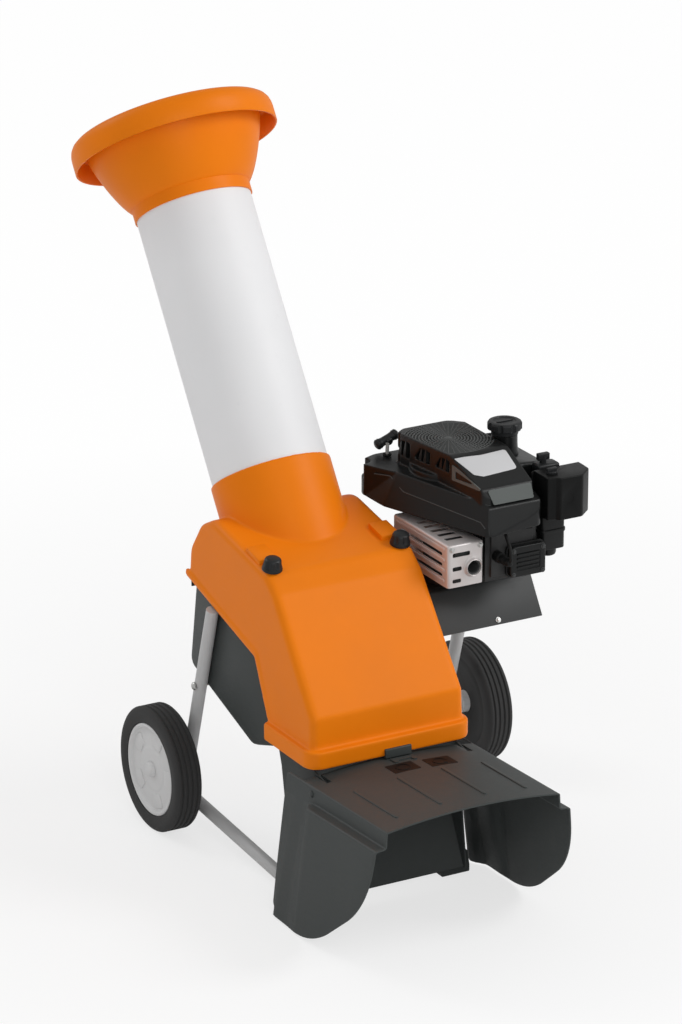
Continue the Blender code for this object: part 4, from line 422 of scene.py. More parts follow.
class Finishes(Enum):
    """The finishes of the machine."""

    ORANGE = Moulded("orange_moulding", "orange_plastic", (0.88, 0.212, 0.002), 0.44, specular=0.13,
        grain=1100.0, grain_depth=0.00002, dust=0.01)
    SILVER = Painted("silver_white_tube", "silver_tube", (0.84, 0.84, 0.85), 0.52, specular=0.35)
    DARK_GREY = Moulded("dark_grey_moulding", "dark_grey_plastic", (0.043, 0.049, 0.048), 0.5,
        specular=0.28, grain=1700.0, grain_depth=0.00006, dust=0.03)
    ENGINE_BLACK = Moulded("black_engine_plastic", "black_plastic", (0.006, 0.0066, 0.0066), 0.34,
        specular=0.24, grain=1900.0, grain_depth=0.00004, dust=0.01)
    FILTER_BLACK = Moulded("black_filter_plastic", "black_plastic", (0.0045, 0.0048, 0.0048), 0.4,
        specular=0.13, grain=1900.0, grain_depth=0.00004, dust=0.01)
    KNOB_BLACK = Moulded("black_knob_plastic", "black_plastic", (0.01, 0.011, 0.012), 0.42, specular=0.28,
        grain=1700.0, dust=0.02)
    # Matt black of small black parts; on the disc under the grille it is painted shade seen through the
    # openings.
    GRILLE_BLACK = Moulded("matt_black_grille", "black_plastic", (0.004, 0.0042, 0.0042), 0.55,
        specular=0.2, grain=1900.0, dust=0.01)
    # Grey lighter than the black plastic: painted highlight on the grille's ridges and along the flank's
    # crease.
    RING_GREY = Moulded("worn_grille_ridges", "black_plastic", (0.055, 0.058, 0.057), 0.46, specular=0.3,
        grain=1900.0, dust=0.04)
    # Grey for the nose facet, where it is a painted highlight on the chamfer, and for the satin side panel.
    NOSE_STRIP = Moulded("satin_grey_strip", "black_plastic", (0.08, 0.09, 0.086), 0.4, specular=0.35,
        grain=1400.0)
    FRAME = Painted("frame_powder_coat", "frame_paint", (0.53, 0.53, 0.53), 0.46, specular=0.35, peel=700.0)
    ZINC = BareMetal("zinc_plated_steel", "zinc_steel", (0.5, 0.5, 0.49), 0.4)
    GROUND = BareMetal("ground_blade_steel", "blade_steel", (0.6, 0.6, 0.61), 0.24, run=(0.05, 1.0, 1.0))
    BRIGHT = BareMetal("bright_sheet_steel", "bright_steel", (0.6, 0.565, 0.555), 0.42,
        run=(1.0, 0.05, 1.0), tint=(0.52, 0.38, 0.35), stain=0.3, metallic=0.5)
    BLACK_STEEL = Painted("satin_black_steel", "black_steel", (0.04, 0.042, 0.042), 0.46, specular=0.35,
        peel=520.0)
    CAST = CastMetal("dull_cast_aluminium", "cast_aluminium", (0.16, 0.16, 0.16), 0.52)
    # Near-black casting for block, head and carburettor: painted shade for the dark space between muffler,
    # valve cover and deck.
    DARK_CAST = CastMetal("blackened_casting", "cast_aluminium", (0.016, 0.016, 0.016), 0.5, metallic=0.2)
    TYRE = Rubber("tyre_rubber", "tyre_rubber", (0.028, 0.031, 0.03), 0.6, specular=0.3)
    BELT = Rubber("belt_rubber", "belt_rubber", (0.018, 0.018, 0.018), 0.7)
    HUB = Moulded("light_grey_hub", "light_grey_plastic", (0.66, 0.66, 0.66), 0.48, specular=0.3,
        grain=1300.0, dust=0.03)
    SILVER_PLATE = Painted("bare_silver_plate", "black_plastic", (0.62, 0.62, 0.63), 0.4, specular=0.4)
    FOAM = Foam("open_filter_foam", "filter_foam", (0.25, 0.22, 0.12), 0.95)
    CORD = Braid("braided_starter_cord", "black_plastic", (0.42, 0.42, 0.4), 0.6)


# Outlines


def mm(*points: Sequence[float]) -> list[tuple[float, ...]]:
    """Return points given in millimetres, in metres."""
    return [tuple(value / 1000 for value in point) for point in points]


def fillet(corners: Sequence[tuple[float, ...]], steps: int = 8) -> list[Point2]:
    """Round the corners of an outline.

    Args:
        corners: (u, v), or (u, v, radius) for a corner to round.
        steps: Parts of each rounding.

    Returns:
        The outline's points.
    """
    points: list[Point2] = []
    for index, corner in enumerate(corners):
        here = Vector(corner[:2])
        radius = corner[2] if len(corner) > 2 else 0.0
        before = (Vector(corners[index - 1][:2]) - here).normalized()
        after = (Vector(corners[(index + 1) % len(corners)][:2]) - here).normalized()
        half = before.angle(after) / 2
        if not radius or half > math.radians(89.5):
            points.append(tuple(here))
            continue
        centre = here + (before + after).normalized() * (radius / math.sin(half))
        start = here + before * (radius / math.tan(half)) - centre
        turn = start.angle_signed(here + after * (radius / math.tan(half)) - centre)
        for step in range(steps + 1):
            spoke = start.copy()
            spoke.rotate(Matrix.Rotation(-turn * step / steps, 2))
            points.append(tuple(centre + spoke))
    return points


def arc(centre: Point2, radius: float, start: float, sweep: float, steps: int) -> list[Point2]:
    """Return points along an arc."""
    angles = [math.radians(start + sweep * index / steps) for index in range(steps + 1)]
    return [(centre[0] + radius * math.cos(angle), centre[1] + radius * math.sin(angle))
        for angle in angles]


def flow(points: Sequence[Point2], steps: int = 6) -> list[Point2]:
    """Run a smooth curve through points.

    Args:
        points: Points that the curve passes.
        steps: Parts between two points.

    Returns:
        The points of the curve.
    """
    padded = [points[0], *points, points[-1]]
    curve: list[Point2] = []
    for before, here, there, after in zip(padded, padded[1:], padded[2:], padded[3:]):
        for step in range(steps):
            share = step / steps
            weights = (-0.5 * share + share ** 2 - 0.5 * share ** 3,
                1 - 2.5 * share ** 2 + 1.5 * share ** 3, 0.5 * share + 2 * share ** 2 - 1.5 * share ** 3,
                -0.5 * share ** 2 + 0.5 * share ** 3)
            curve.append(tuple(sum(weight * point[axis] for weight, point in zip(weights,
                (before, here, there, after))) for axis in (0, 1)))
    curve.append(tuple(points[-1]))
    return curve


def inset_loop(points: Sequence[Point2], distance: float) -> list[Point2]:
    """Move a closed anticlockwise outline inwards.

    Args:
        points: The outline.
        distance: How far it moves.

    Returns:
        The moved outline.
    """
    moved: list[Point2] = []
    for index, point in enumerate(points):
        here = Vector(point)
        before = (here - Vector(points[index - 1])).normalized()
        after = (Vector(points[(index + 1) % len(points)]) - here).normalized()
        normal = (Vector((-before.y, before.x)) + Vector((-after.y, after.x))).normalized()
        lean = max(0.3, normal.dot(Vector((-before.y, before.x))))
        moved.append(tuple(here + normal * (distance / lean)))
    return moved


# Modelling


class Part(Enum):
    """Parts of a mesh that can be chosen in edit mode."""

    VERTS = "VERT"
    EDGES = "EDGE"


def is_level(edge: object) -> bool:
    """Say whether an edge lies level."""
    return abs(edge.verts[0].co.z - edge.verts[1].co.z) < 1e-5


def above(height: float) -> Callable[[object], bool]:
    """Return a test for edges that lie wholly above a height."""
    return lambda edge: all(vertex.co.z > height for vertex in edge.verts)


class Axis(Enum):
    """Directions along which an outline is given thickness."""

    X = (1.0, 0.0, 0.0)
    Y = (0.0, 1.0, 0.0)
    Z = (0.0, 0.0, 1.0)

    def point(self, outline_point: Point2, depth: float) -> Vector:
        """Return the outline's point in space."""
        u, v = outline_point
        return Vector({Axis.X: (depth, u, v), Axis.Y: (u, depth, v), Axis.Z: (u, v, depth)}[self])


class Bench:
    """The modeller's hands: one mesh at a time, shaped with Blender's own operators."""

    @staticmethod
    def focus(item: Item) -> None:
        """Select one object alone and make it active.

        Args:
            item: The object to work on.
        """
        for other in bpy.context.selected_objects:
            other.select_set(False)
        bpy.context.view_layer.objects.active = item
        item.select_set(True)

    @classmethod
    @contextmanager
    def editing(cls, item: Item) -> Iterator[None]:
        """Edit an object's mesh inside a with block.

        Args:
            item: The object to edit.
        """
        cls.focus(item)
        bpy.ops.object.mode_set(mode="EDIT")
        bpy.ops.mesh.select_mode(type="VERT")
        bpy.ops.mesh.select_all(action="SELECT")
        yield
        bpy.ops.object.mode_set(mode="OBJECT")

    @staticmethod
    def choose(item: Item, part: Part, test: Callable[[object], bool]) -> int:
        """Select the parts of an edited mesh that pass a test.

        Args:
            item: The object being edited.
            part: Which parts to look at.
            test: Says whether a part is chosen.

        Returns:
            How many were chosen.
        """
        bpy.ops.mesh.select_mode(type=part.value)
        bpy.ops.mesh.select_all(action="DESELECT")
        shape = bmesh.from_edit_mesh(item.data)
        shape.normal_update()
        chosen = [element for element in getattr(shape, part.name.lower()) if test(element)]
        for element in chosen:
            element.select_set(True)
        shape.select_flush_mode()
        bmesh.update_edit_mesh(item.data)
        return len(chosen)

    @classmethod
    def wire(cls, name: str, points: Sequence[Sequence[float]], closed: bool = False) -> Item:
        """Draw a line of edges by extruding one vertex from point to point.

        Args:
            name: The object's name.
            points: Points in space.
            closed: Whether the last point is joined to the first.

        Returns:
            The object.
        """
        for other in bpy.context.selected_objects:
            other.select_set(False)
        bpy.ops.mesh.primitive_plane_add(size=0.01)
        item = bpy.context.object
        item.name = item.data.name = name
        places = [Vector(point) for point in points]
        with cls.editing(item):
            bpy.ops.mesh.merge(type="CENTER")
            bpy.ops.transform.translate(value=places[0])
            for before, after in pairwise(places):
                bpy.ops.mesh.extrude_vertices_move(TRANSFORM_OT_translate={"value": after - before})
            if closed:
                last = len(places) - 1
                cls.choose(item, Part.VERTS, lambda vertex: vertex.index in (0, last))
                bpy.ops.mesh.edge_face_add()
        return item

    @classmethod
    def prism(cls, name: str, outline: Sequence[Point2], axis: Axis, low: float, high: float) -> Item:
        """Fill a closed outline and extrude it along an axis.

        Args:
            name: The object's name.
            outline: The closed outline.
            axis: Direction of the thickness.
            low: Where it starts.
            high: Where it ends.

        Returns:
            The solid.
        """
        item = cls.wire(name, [axis.point(point, low) for point in outline], True)
        with cls.editing(item):
            bpy.ops.mesh.edge_face_add()
            travel = Vector(axis.value) * (high - low)
            bpy.ops.mesh.extrude_region_move(TRANSFORM_OT_translate={"value": travel})
            bpy.ops.mesh.select_all(action="SELECT")
            bpy.ops.mesh.normals_make_consistent(inside=False)
        return item

    @classmethod
    def lathe(cls, name: str, profile: Sequence[Point2], steps: int, place: Sequence[float] = (0, 0, 0),
            aim: Sequence[float] = (0, 0, 1), closed: bool = False) -> Item:
        """Spin a profile round an axis.

        Args:
            name: The object's name.
            profile: (radius, height) points.
            steps: Parts of the full turn.
            place: Where height 0 of the axis lies.
            aim: Direction of the axis.
            closed: Whether the profile is a closed loop.

        Returns:
            The turned solid.
        """
        item = cls.wire(name, [(radius, 0.0, height) for radius, height in profile], closed)
        with cls.editing(item):
            bpy.ops.mesh.spin(steps=steps, angle=2 * math.pi, center=(0, 0, 0), axis=(0, 0, 1))
            bpy.ops.mesh.select_all(action="SELECT")
            bpy.ops.mesh.remove_doubles(threshold=0.00001)
            bpy.ops.mesh.normals_make_consistent(inside=False)
        return cls.stand(item, place, aim)

    @classmethod
    def stand(cls, item: Item, place: Sequence[float], aim: Sequence[float]) -> Item:
        """Stand an upright object somewhere, pointing a given way.

        Args:
            item: The object, with its foot at the origin.
            place: Where its foot goes.
            aim: Where its top points.

        Returns:
            The same object.
        """
        item.location = place
        item.rotation_euler = Vector(aim).to_track_quat("Z", "Y").to_euler()
        return cls.put(item)

    @classmethod
    def box(cls, name: str, low: Sequence[float], high: Sequence[float], round_edges: float = 0.0,
            segments: int = 3) -> Item:
        """Add a box between two corners, with its edges rounded.

        Args:
            name: The object's name.
            low: Lowest corner.
            high: Highest corner.
            round_edges: Radius of the rounding.
            segments: Parts of the rounding.

        Returns:
            The box.
        """
        size = Vector(high) - Vector(low)
        bpy.ops.mesh.primitive_cube_add(size=1.0, location=(Vector(low) + Vector(high)) / 2)
        item = bpy.context.object
        item.name = item.data.name = name
        item.scale = size
        cls.put(item)
        if round_edges:
            with cls.editing(item):
                bpy.ops.mesh.bevel(offset=round_edges, segments=segments, affect="EDGES")
        return item

    @classmethod
    def rod(cls, name: str, start: Sequence[float], end: Sequence[float], radius: float,
            steps: int = 32) -> Item:
        """Add a round bar between two points.

        Args:
            name: The object's name.
            start: Middle of one end.
            end: Middle of the other end.
            radius: The bar's radius.
            steps: Flats round it.

        Returns:
            The bar.
        """
        span = Vector(end) - Vector(start)
        turn = span.to_track_quat("Z", "Y").to_euler()
        bpy.ops.mesh.primitive_cylinder_add(vertices=steps, radius=radius, depth=span.length,
            location=(Vector(start) + Vector(end)) / 2, rotation=turn)
        item = bpy.context.object
        item.name = item.data.name = name
        return cls.put(item)

    @classmethod
    def pipe(cls, name: str, route: Sequence[Sequence[float]], radius: float, bends: Sequence[float],
            sides: int = 5) -> Item:
        """Bend a round bar along a route with rounded corners.

        Args:
            name: The object's name.
            route: Corners of the route.
            radius: The bar's radius.
            bends: Radius of each inner corner.
            sides: Resolution of the bar's section.

        Returns:
            The bar as a mesh.
        """
        points = [Vector(route[0])]
        for index, bend in enumerate(bends, 1):
            here = Vector(route[index])
            before = (Vector(route[index - 1]) - here).normalized()
            after = (Vector(route[index + 1]) - here).normalized()
            half = before.angle(after) / 2
            centre = here + (before + after).normalized() * (bend / math.sin(half))
            start = here + before * (bend / math.tan(half)) - centre
            end = here + after * (bend / math.tan(half)) - centre
            points += [centre + start.slerp(end, step / 10) * bend for step in range(11)]
        points.append(Vector(route[-1]))
        item = cls.wire(name, points)
        bpy.ops.object.convert(target="CURVE")
        item.data.bevel_depth = radius
        item.data.bevel_resolution = sides
        item.data.use_fill_caps = True
        bpy.ops.object.convert(target="MESH")
        return item

    @classmethod
    def put(cls, item: Item) -> Item:
        """Move an object's place, turn and scale into its mesh.

        Args:
            item: The object.

        Returns:
            The same object, at the origin.
        """
        cls.focus(item)
        bpy.ops.object.transform_apply(location=True, rotation=True, scale=True)
        return item

    @classmethod
    def finish_with(cls, item: Item, kind: str, **settings: object) -> Item:
        """Add a modifier, set it and apply it.

        Args:
            item: The object.
            kind: The modifier's type.
            settings: Its properties.

        Returns:
            The same object.
        """
        cls.focus(item)
        bpy.ops.object.modifier_add(type=kind)
        modifier = item.modifiers[-1]
        for key, value in settings.items():
            setattr(modifier, key, value)
        bpy.ops.object.modifier_apply(modifier=modifier.name)
        return item

    @classmethod
    def combine(cls, item: Item, operation: str, *tools: Item) -> Item:
        """Combine an object with others and remove them.

        Args:
            item: The object that is kept.
            operation: DIFFERENCE, UNION or INTERSECT.
            tools: The other objects, in order.

        Returns:
            The first object.
        """
        for tool in tools:
            cls.finish_with(item, "BOOLEAN", operation=operation, object=tool, solver="EXACT")
            bpy.data.objects.remove(tool)
        return item

    @classmethod
    def cut(cls, item: Item, *tools: Item) -> Item:
        """Cut tools out of an object."""
        return cls.combine(item, "DIFFERENCE", *tools)

    @classmethod
    def fuse(cls, item: Item, *tools: Item) -> Item:
        """Join solids into one skin."""
        return cls.combine(item, "UNION", *tools)

    @classmethod
    def join(cls, item: Item, *others: Item) -> Item:
        """Gather separate bodies into one object.

        Args:
            item: The object that is kept.
            others: Objects that go into it.

        Returns:
            The first object.
        """
        cls.focus(item)
        for other in others:
            other.select_set(True)
        bpy.ops.object.join()
        return item

    @classmethod
    def bevel(cls, item: Item, width: float, segments: int, test: Callable[[object], bool]) -> Item:
        """Round the edges that pass a test.

        Args:
            item: The object.
            width: Width of the rounding.
            segments: Parts of the rounding.
            test: Says whether an edge is rounded.

        Returns:
            The same object.
        """
        with cls.editing(item):
            if cls.choose(item, Part.EDGES, test):
                bpy.ops.mesh.bevel(offset=width, segments=segments, affect="EDGES", clamp_overlap=True)
        return item

    @classmethod
    def soften(cls, item: Item, width: float, segments: int = 2, angle: float = 35.0) -> Item:
        """Round every edge sharper than an angle."""
        return cls.finish_with(item, "BEVEL", width=width, segments=segments, limit_method="ANGLE",
            angle_limit=math.radians(angle), use_clamp_overlap=True)

    @staticmethod
    def reshape(item: Item, move: Callable[[Vector], Vector]) -> Item:
        """Move every point of a mesh by a rule, where an operator has no such shape.

        Args:
            item: The object.
            move: Gives a point's new place.

        Returns:
            The same object.
        """
        for vertex in item.data.vertices:
            vertex.co = move(vertex.co.copy())
        item.data.update()
        return item

    @classmethod
    def relevel(cls, item: Item, height: Callable[[Vector], float]) -> Item:
        """Give every point of a mesh a new height and leave it where it is in plan."""
        return cls.reshape(item, lambda point: Vector((point.x, point.y, height(point))))

    @classmethod
    def slice(cls, item: Item, place: Sequence[float], out: Sequence[float]) -> Item:
        """Cut away what lies beyond a plane and close the cut."""
        with cls.editing(item):
            bpy.ops.mesh.bisect(plane_co=place, plane_no=out, clear_outer=True, use_fill=True)
        return item

    @classmethod
    def blended(cls, item: Item, voxel: float, rounds: int, keep: float) -> Item:
        """Melt joined solids into one smooth skin, with soft hollows where they meet.

        Args:
            item: The joined solid.
            voxel: Size of the skin's cells.
            rounds: How often it is smoothed.
            keep: Share of the faces that stay.

        Returns:
            The same object.
        """
        cls.finish_with(item, "REMESH", mode="VOXEL", voxel_size=voxel)
        cls.finish_with(item, "SMOOTH", factor=0.5, iterations=rounds)
        return cls.finish_with(item, "DECIMATE", ratio=keep)

    @classmethod
    def array_turned(cls, item: Item, count: int) -> list[Item]:
        """Copy an object round the upright axis through the origin.

        Args:
            item: The first copy.
            count: Copies with the first.

        Returns:
            All copies, each with its own mesh.
        """
        copies = [item]
        for index in range(1, count):
            copy = item.copy()
            copy.data = item.data.copy()
            bpy.context.scene.collection.objects.link(copy)
            copy.data.transform(Matrix.Rotation(2 * math.pi * index / count, 4, Vector((0.0, 0.0, 1.0))))
            copies.append(copy)
        return copies


class SubAssembly:
    """One sub-assembly, with the steps that turn its shapes into pieces of the machine."""

    nodes = frame["nodes"]
    shift = Vector((0.0, sum(corner.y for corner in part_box("axle")) / 2 - AXLE_Y, 0.0))
    body_of = {node: body for body, nodes in frame["record"]["behaviour"]["bodies"].items()
        for node in nodes}

    def build(self) -> None:
        """Build and place the pieces."""
        raise NotImplementedError

    def show(self, item: Item, finish: Finishes, *replaced: str, body: str = "machine",
            angle: float = 32.0) -> Item:
        """Give a shape its finish, move it into the frame and hang it on its body.

        Args:
            item: The finished shape.
            finish: Its finish.
            replaced: Solids that it stands for, which also name its body.
            body: The body that carries it, or nothing for a piece that is blended between two.
            angle: Faces that meet at less than this many degrees are shaded as one.

        Returns:
            The piece.
        """
        Bench.focus(item)
        item.location = item.location + self.shift
        Bench.put(item)
        item.data.materials.clear()
        item.data.materials.append(finish.value.make())
        bpy.ops.object.shade_smooth_by_angle(angle=math.radians(angle))
        if replaced:
            body = self.body_of[replaced[0]]
        if body:
            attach(item, body)
        if replaced:
            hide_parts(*replaced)
        LOG.info("%s: %d faces on %s", item.name, len(item.data.polygons), body or "two bodies")
        return item

    def take(self, node: str, name: str) -> Item:
        """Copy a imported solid's mesh into the workshop's own coordinates, with its points merged.

        Args:
            node: The solid's name.
            name: The copy's name.

        Returns:
            The copy.
        """
        copy = bpy.data.objects.new(name, self.nodes[node].data.copy())
        bpy.context.scene.collection.objects.link(copy)
        copy.location = -self.shift
        Bench.put(copy)
        with Bench.editing(copy):
            bpy.ops.mesh.remove_doubles(threshold=0.00001)
            bpy.ops.mesh.dissolve_limited(angle_limit=math.radians(0.4))
        return copy

    def refine(self, node: str, finish: Finishes, width: float = 0.0008, segments: int = 2,
            angle: float = 32.0) -> Item:
        """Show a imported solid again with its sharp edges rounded.

        Args:
            node: The solid's name.
            finish: The finish it gets.
            width: Width of the rounding.
            segments: Parts of the rounding.
            angle: Smallest angle that is rounded, in degrees.

        Returns:
            The piece.
        """
        copy = self.take(node, f"{node}_softened")
        Bench.soften(copy, width, segments, angle)
        return self.show(copy, finish, node)

    def coat(self, finish: Finishes, *nodes: str) -> None:
        """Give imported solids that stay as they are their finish.

        Args:
            finish: The finish.
            nodes: The solids.
        """
        for node in nodes:
            self.nodes[node].data.materials.clear()
            self.nodes[node].data.materials.append(finish.value.make())
            LOG.info("%s: packed solid in %s", node, finish.value.name)


# Sub-assemblies


@dataclass
class Chassis(SubAssembly):
    """Bent frame tubes, front feet and the axle with its spacers."""

    leg_x: float = 0.289
    lean: float = math.radians(16.75)
    bend_z: float = 0.0585
    bend: float = 0.045
    radius: float = 0.0125
    strut_end_y: float = -0.452
    strut_drop: float = 0.078
    axle_z: float = 0.125
    tops: tuple[float, float] = (0.478, 0.503)

    def leg_point(self, height: float, side: int) -> Vector:
        """Return the middle of a leg at a height."""
        return Vector((side * self.leg_x, AXLE_Y - (height - self.axle_z) * math.tan(self.lean), height))

    def build(self) -> None:
        """Build and place the pieces."""
        for (name, side), top in zip(SIDES, self.tops):
            foot_x = -self.leg_x if side < 0 else 2 * CHUTE_X + self.leg_x
            end_z = self.bend_z - self.strut_drop * (AXLE_Y - self.strut_end_y)
            route = [self.leg_point(top, side), self.leg_point(self.bend_z, side),
                (foot_x, self.strut_end_y, end_z)]
            tube = Bench.pipe(f"{name}_bent_tube", route, self.radius, [self.bend], 9)
            Bench.soften(tube, 0.0012, 2, 60.0)
            self.show(tube, Finishes.FRAME, f"{name}_frame_tube")
            self.refine(f"{name}_front_foot", Finishes.DARK_GREY, 0.0012, 3, 25.0)
            self.spacer(name, side)
        ends = [self.axle_end(side) for _, side in SIDES]
        self.show(Bench.join(*ends), Finishes.ZINC, "axle")
        self.show(self.bolt("leg_bolt_head", (-0.3015, *self.leg_point(0.305, -1).yz), (-1, 0, 0), 0.0052),
            Finishes.FRAME)
        self.coat(Finishes.ZINC, "leg_bolt")

    def axle_end(self, side: int) -> Item:
        """Return the part of the axle that shows, from a wheel to the far side of its leg."""
        outer, inner = (Vector((side * x, AXLE_Y, self.axle_z))
            for x in (0.372, self.leg_x - self.radius - 0.002))
        return Bench.soften(Bench.rod("axle_end", outer, inner, 0.008, 40), 0.0012, 2, 60.0)

    def spacer(self, name: str, side: int) -> None:
        """Turn the spacer between a wheel and its leg.

        Args:
            name: left or right.
            side: -1 on the left and 1 on the right.
        """
        low, high = self.leg_x + self.radius + 0.0003, 0.3217
        ring = [(0.0083, low), (0.0125, low), (0.013, low + 0.0008), (0.013, low + 0.006),
            (0.0118, low + 0.007), (0.0118, high - 0.007), (0.013, high - 0.006), (0.013, high - 0.0008),
            (0.0125, high), (0.0083, high)]
        piece = Bench.lathe(f"{name}_axle_spacer", ring, 48, (0.0, AXLE_Y, self.axle_z), (side, 0, 0), True)
        self.show(piece, Finishes.ZINC, f"{name}_spacer")

    @staticmethod
    def bolt(name: str, place: Sequence[float], aim: Sequence[float], size: float = 0.0065,
            height: float = 0.0045) -> Item:
        """Make a hexagon head on its washer.

        Args:
            name: The piece's name.
            place: Where the washer lies.
            aim: The way it points.
            size: Half width over the corners.
            height: Height of the head.

        Returns:
            The head with its washer.
        """
        head = Bench.lathe(name, [(0.0, height), (size * 0.8, height), (size, height - 0.0009),
            (size, 0.0008), (0.0, 0.0008)], 6)
        washer = Bench.lathe("washer", [(0.0, 0.0011), (size * 1.32, 0.0011), (size * 1.42, 0.0007),
            (size * 1.42, 0.0), (0.0, 0.0)], 36)
        return Bench.stand(Bench.join(head, washer), place, aim)


@dataclass
class Wheel(SubAssembly):
    """One wheel: grooved solid tyre, moulded hub and pressed-in cap."""

    name: str
    side: int
    radius: float = 0.125
    bore: float = 0.0927
    half: float = 0.028
    grooves: int = 4
    pitch: float = 0.0105
    mouth: float = 0.0027
    depth: float = 0.0032
    pads: int = 5

    @property
    def centre(self) -> Vector:
        """Middle of the wheel."""
        return Vector((self.side * 0.35, AXLE_Y, self.radius))

    def build(self) -> None:
        """Build and place the pieces."""
        tyre = Bench.lathe(f"{self.name}_grooved_tyre", self.tyre_section(), 112, self.centre,
            (self.side, 0, 0), True)
        self.show(tyre, Finishes.TYRE, f"{self.name}_tyre", angle=40.0)
        self.show(self.hub(), Finishes.HUB, f"{self.name}_rim", angle=38.0)
        half = self.half
        cap = [(0.0, half + 0.0022), (0.006, half + 0.002), (0.0105, half + 0.0012),
            (0.0135, half - 0.0006), (0.0148, half - 0.003), (0.0155, half - 0.0078),
            (0.009, half - 0.0078), (0.009, half - 0.003), (0.0, half - 0.003)]
        self.show(Bench.lathe(f"{self.name}_pressed_cap", cap, 48, self.centre, (self.side, 0, 0)),
            Finishes.HUB, f"{self.name}_hub_cap")
        # A black cone in the hollow behind the hub: painted shade for the dark inside of the wheel's back.
        back = mm((23.2, -12), (40, -13), (78, -21.5), (85, -23.3), (92.6, -23.3), (92.6, -24.6),
            (84.5, -25), (77, -23.2), (39.5, -14.6), (23.2, -13.6))
        self.show(Bench.lathe(f"{self.name}_dark_back", back, 96, self.centre, (self.side, 0, 0), True),
            Finishes.TYRE, body=f"{self.name}_wheel")

    def tyre_section(self) -> list[Point2]:
        """Return the tyre's closed section with rounded shoulders and grooves."""
        top, tread = self.radius, self.half - 0.0072
        side = [(self.bore + 0.0002, 0.0245), (self.bore + 0.0018, 0.0262), (0.0985, 0.0264),
            (0.0998, 0.027), (0.11, 0.0279), (0.1165, 0.0278), (0.1178, 0.0272), (0.1206, 0.0262),
            (0.1232, 0.024), (0.1246, 0.022)]
        points = side + [(top, tread)]
        for index in range(self.grooves):
            middle = (self.grooves / 2 - 0.5 - index) * self.pitch
            for step, drop in ((1.0, 0.0), (0.86, 0.12), (0.62, 0.66), (0.34, 0.95), (0.0, 1.0)):
                points.append((top - self.depth * drop, middle + self.mouth * step))
            for step, drop in ((0.34, 0.95), (0.62, 0.66), (0.86, 0.12), (1.0, 0.0)):
                points.append((top - self.depth * drop, middle - self.mouth * step))
        points.append((top, -tread))
        return points + [(radius, -height) for radius, height in side[::-1]]

    def hub(self) -> Item:
        """Make the hub: a round rim band, a dish with raised tongues and a plateau round the axle.

        Returns:
            The hub.
        """
        half, bore = self.half, 0.0084
        section = [(0.0924, half - 0.0055), (0.0916, half - 0.0035), (0.0895, half - 0.0024),
            (0.0868, half - 0.0026), (0.085, half - 0.0036), (0.0838, half - 0.0056), (0.0822, 0.0196),
            (0.079, 0.0184), (0.074, 0.018), (0.048, 0.0184), (0.0452, 0.0187), (0.0438, 0.0192),
            (0.042, 0.0196), (0.0396, 0.0198), (0.0285, 0.0198), (0.024, half - 0.0082),
            (0.0222, half - 0.008), (bore, half - 0.008), (bore, -half), (0.0205, -half),
            (0.022, 0.0012 - half), (0.0226, -0.004), (0.024, -0.0022), (0.08, -0.0022), (0.0826, -0.004),
            (0.0836, 0.006 - half), (0.0846, 0.005 - half), (0.0912, 0.005 - half), (0.0924, 0.0062 - half)]
        hub = Bench.lathe(f"{self.name}_moulded_hub", section, 112, closed=True)
        arch = fillet(mm((50, -15, 4), (76, -21.5, 7), (79, 0, 50), (76, 21.5, 7), (50, 15, 4)), 5)
        pad = Bench.prism("pad", arch, Axis.Z, 0.017, 0.02)
        Bench.bevel(pad, 0.0012, 3, above(0.0199))
        pads = Bench.array_turned(pad, self.pads)
        return Bench.stand(Bench.join(hub, *pads), self.centre, (self.side, 0, 0))


@dataclass
class Deck(SubAssembly):
    """Bent deck plate with its screws."""

    top: float = 0.51
    skirt_top_y: float = -0.291
    skirt_end_y: float = -0.338
    skirt_end_z: float = 0.437

    def build(self) -> None:
        """Build and place the pieces."""
        self.refine("engine_deck", Finishes.BLACK_STEEL, 0.0007, 2, 40.0)
        fall = Vector((0.0, self.skirt_end_y - self.skirt_top_y, self.skirt_end_z - self.top))
        out = Vector((0.0, fall.z, -fall.y)).normalized()
        out = -out if out.y > 0 else out
        share = (self.top - 0.4445) / (self.top - self.skirt_end_z)
        place = Vector((0.2035, self.skirt_top_y, self.top)) + fall * share + out * 0.0004
        self.show(Chassis.bolt("skirt_screw", place, out, 0.004, 0.0032), Finishes.ZINC)
        for index, (x, y) in enumerate(((0.278, -0.262), (0.278, -0.012), (0.06, -0.012))):
            self.show(Chassis.bolt(f"deck_screw_{index}", (x, y, self.top), (0, 0, 1)),
                Finishes.BLACK_STEEL)


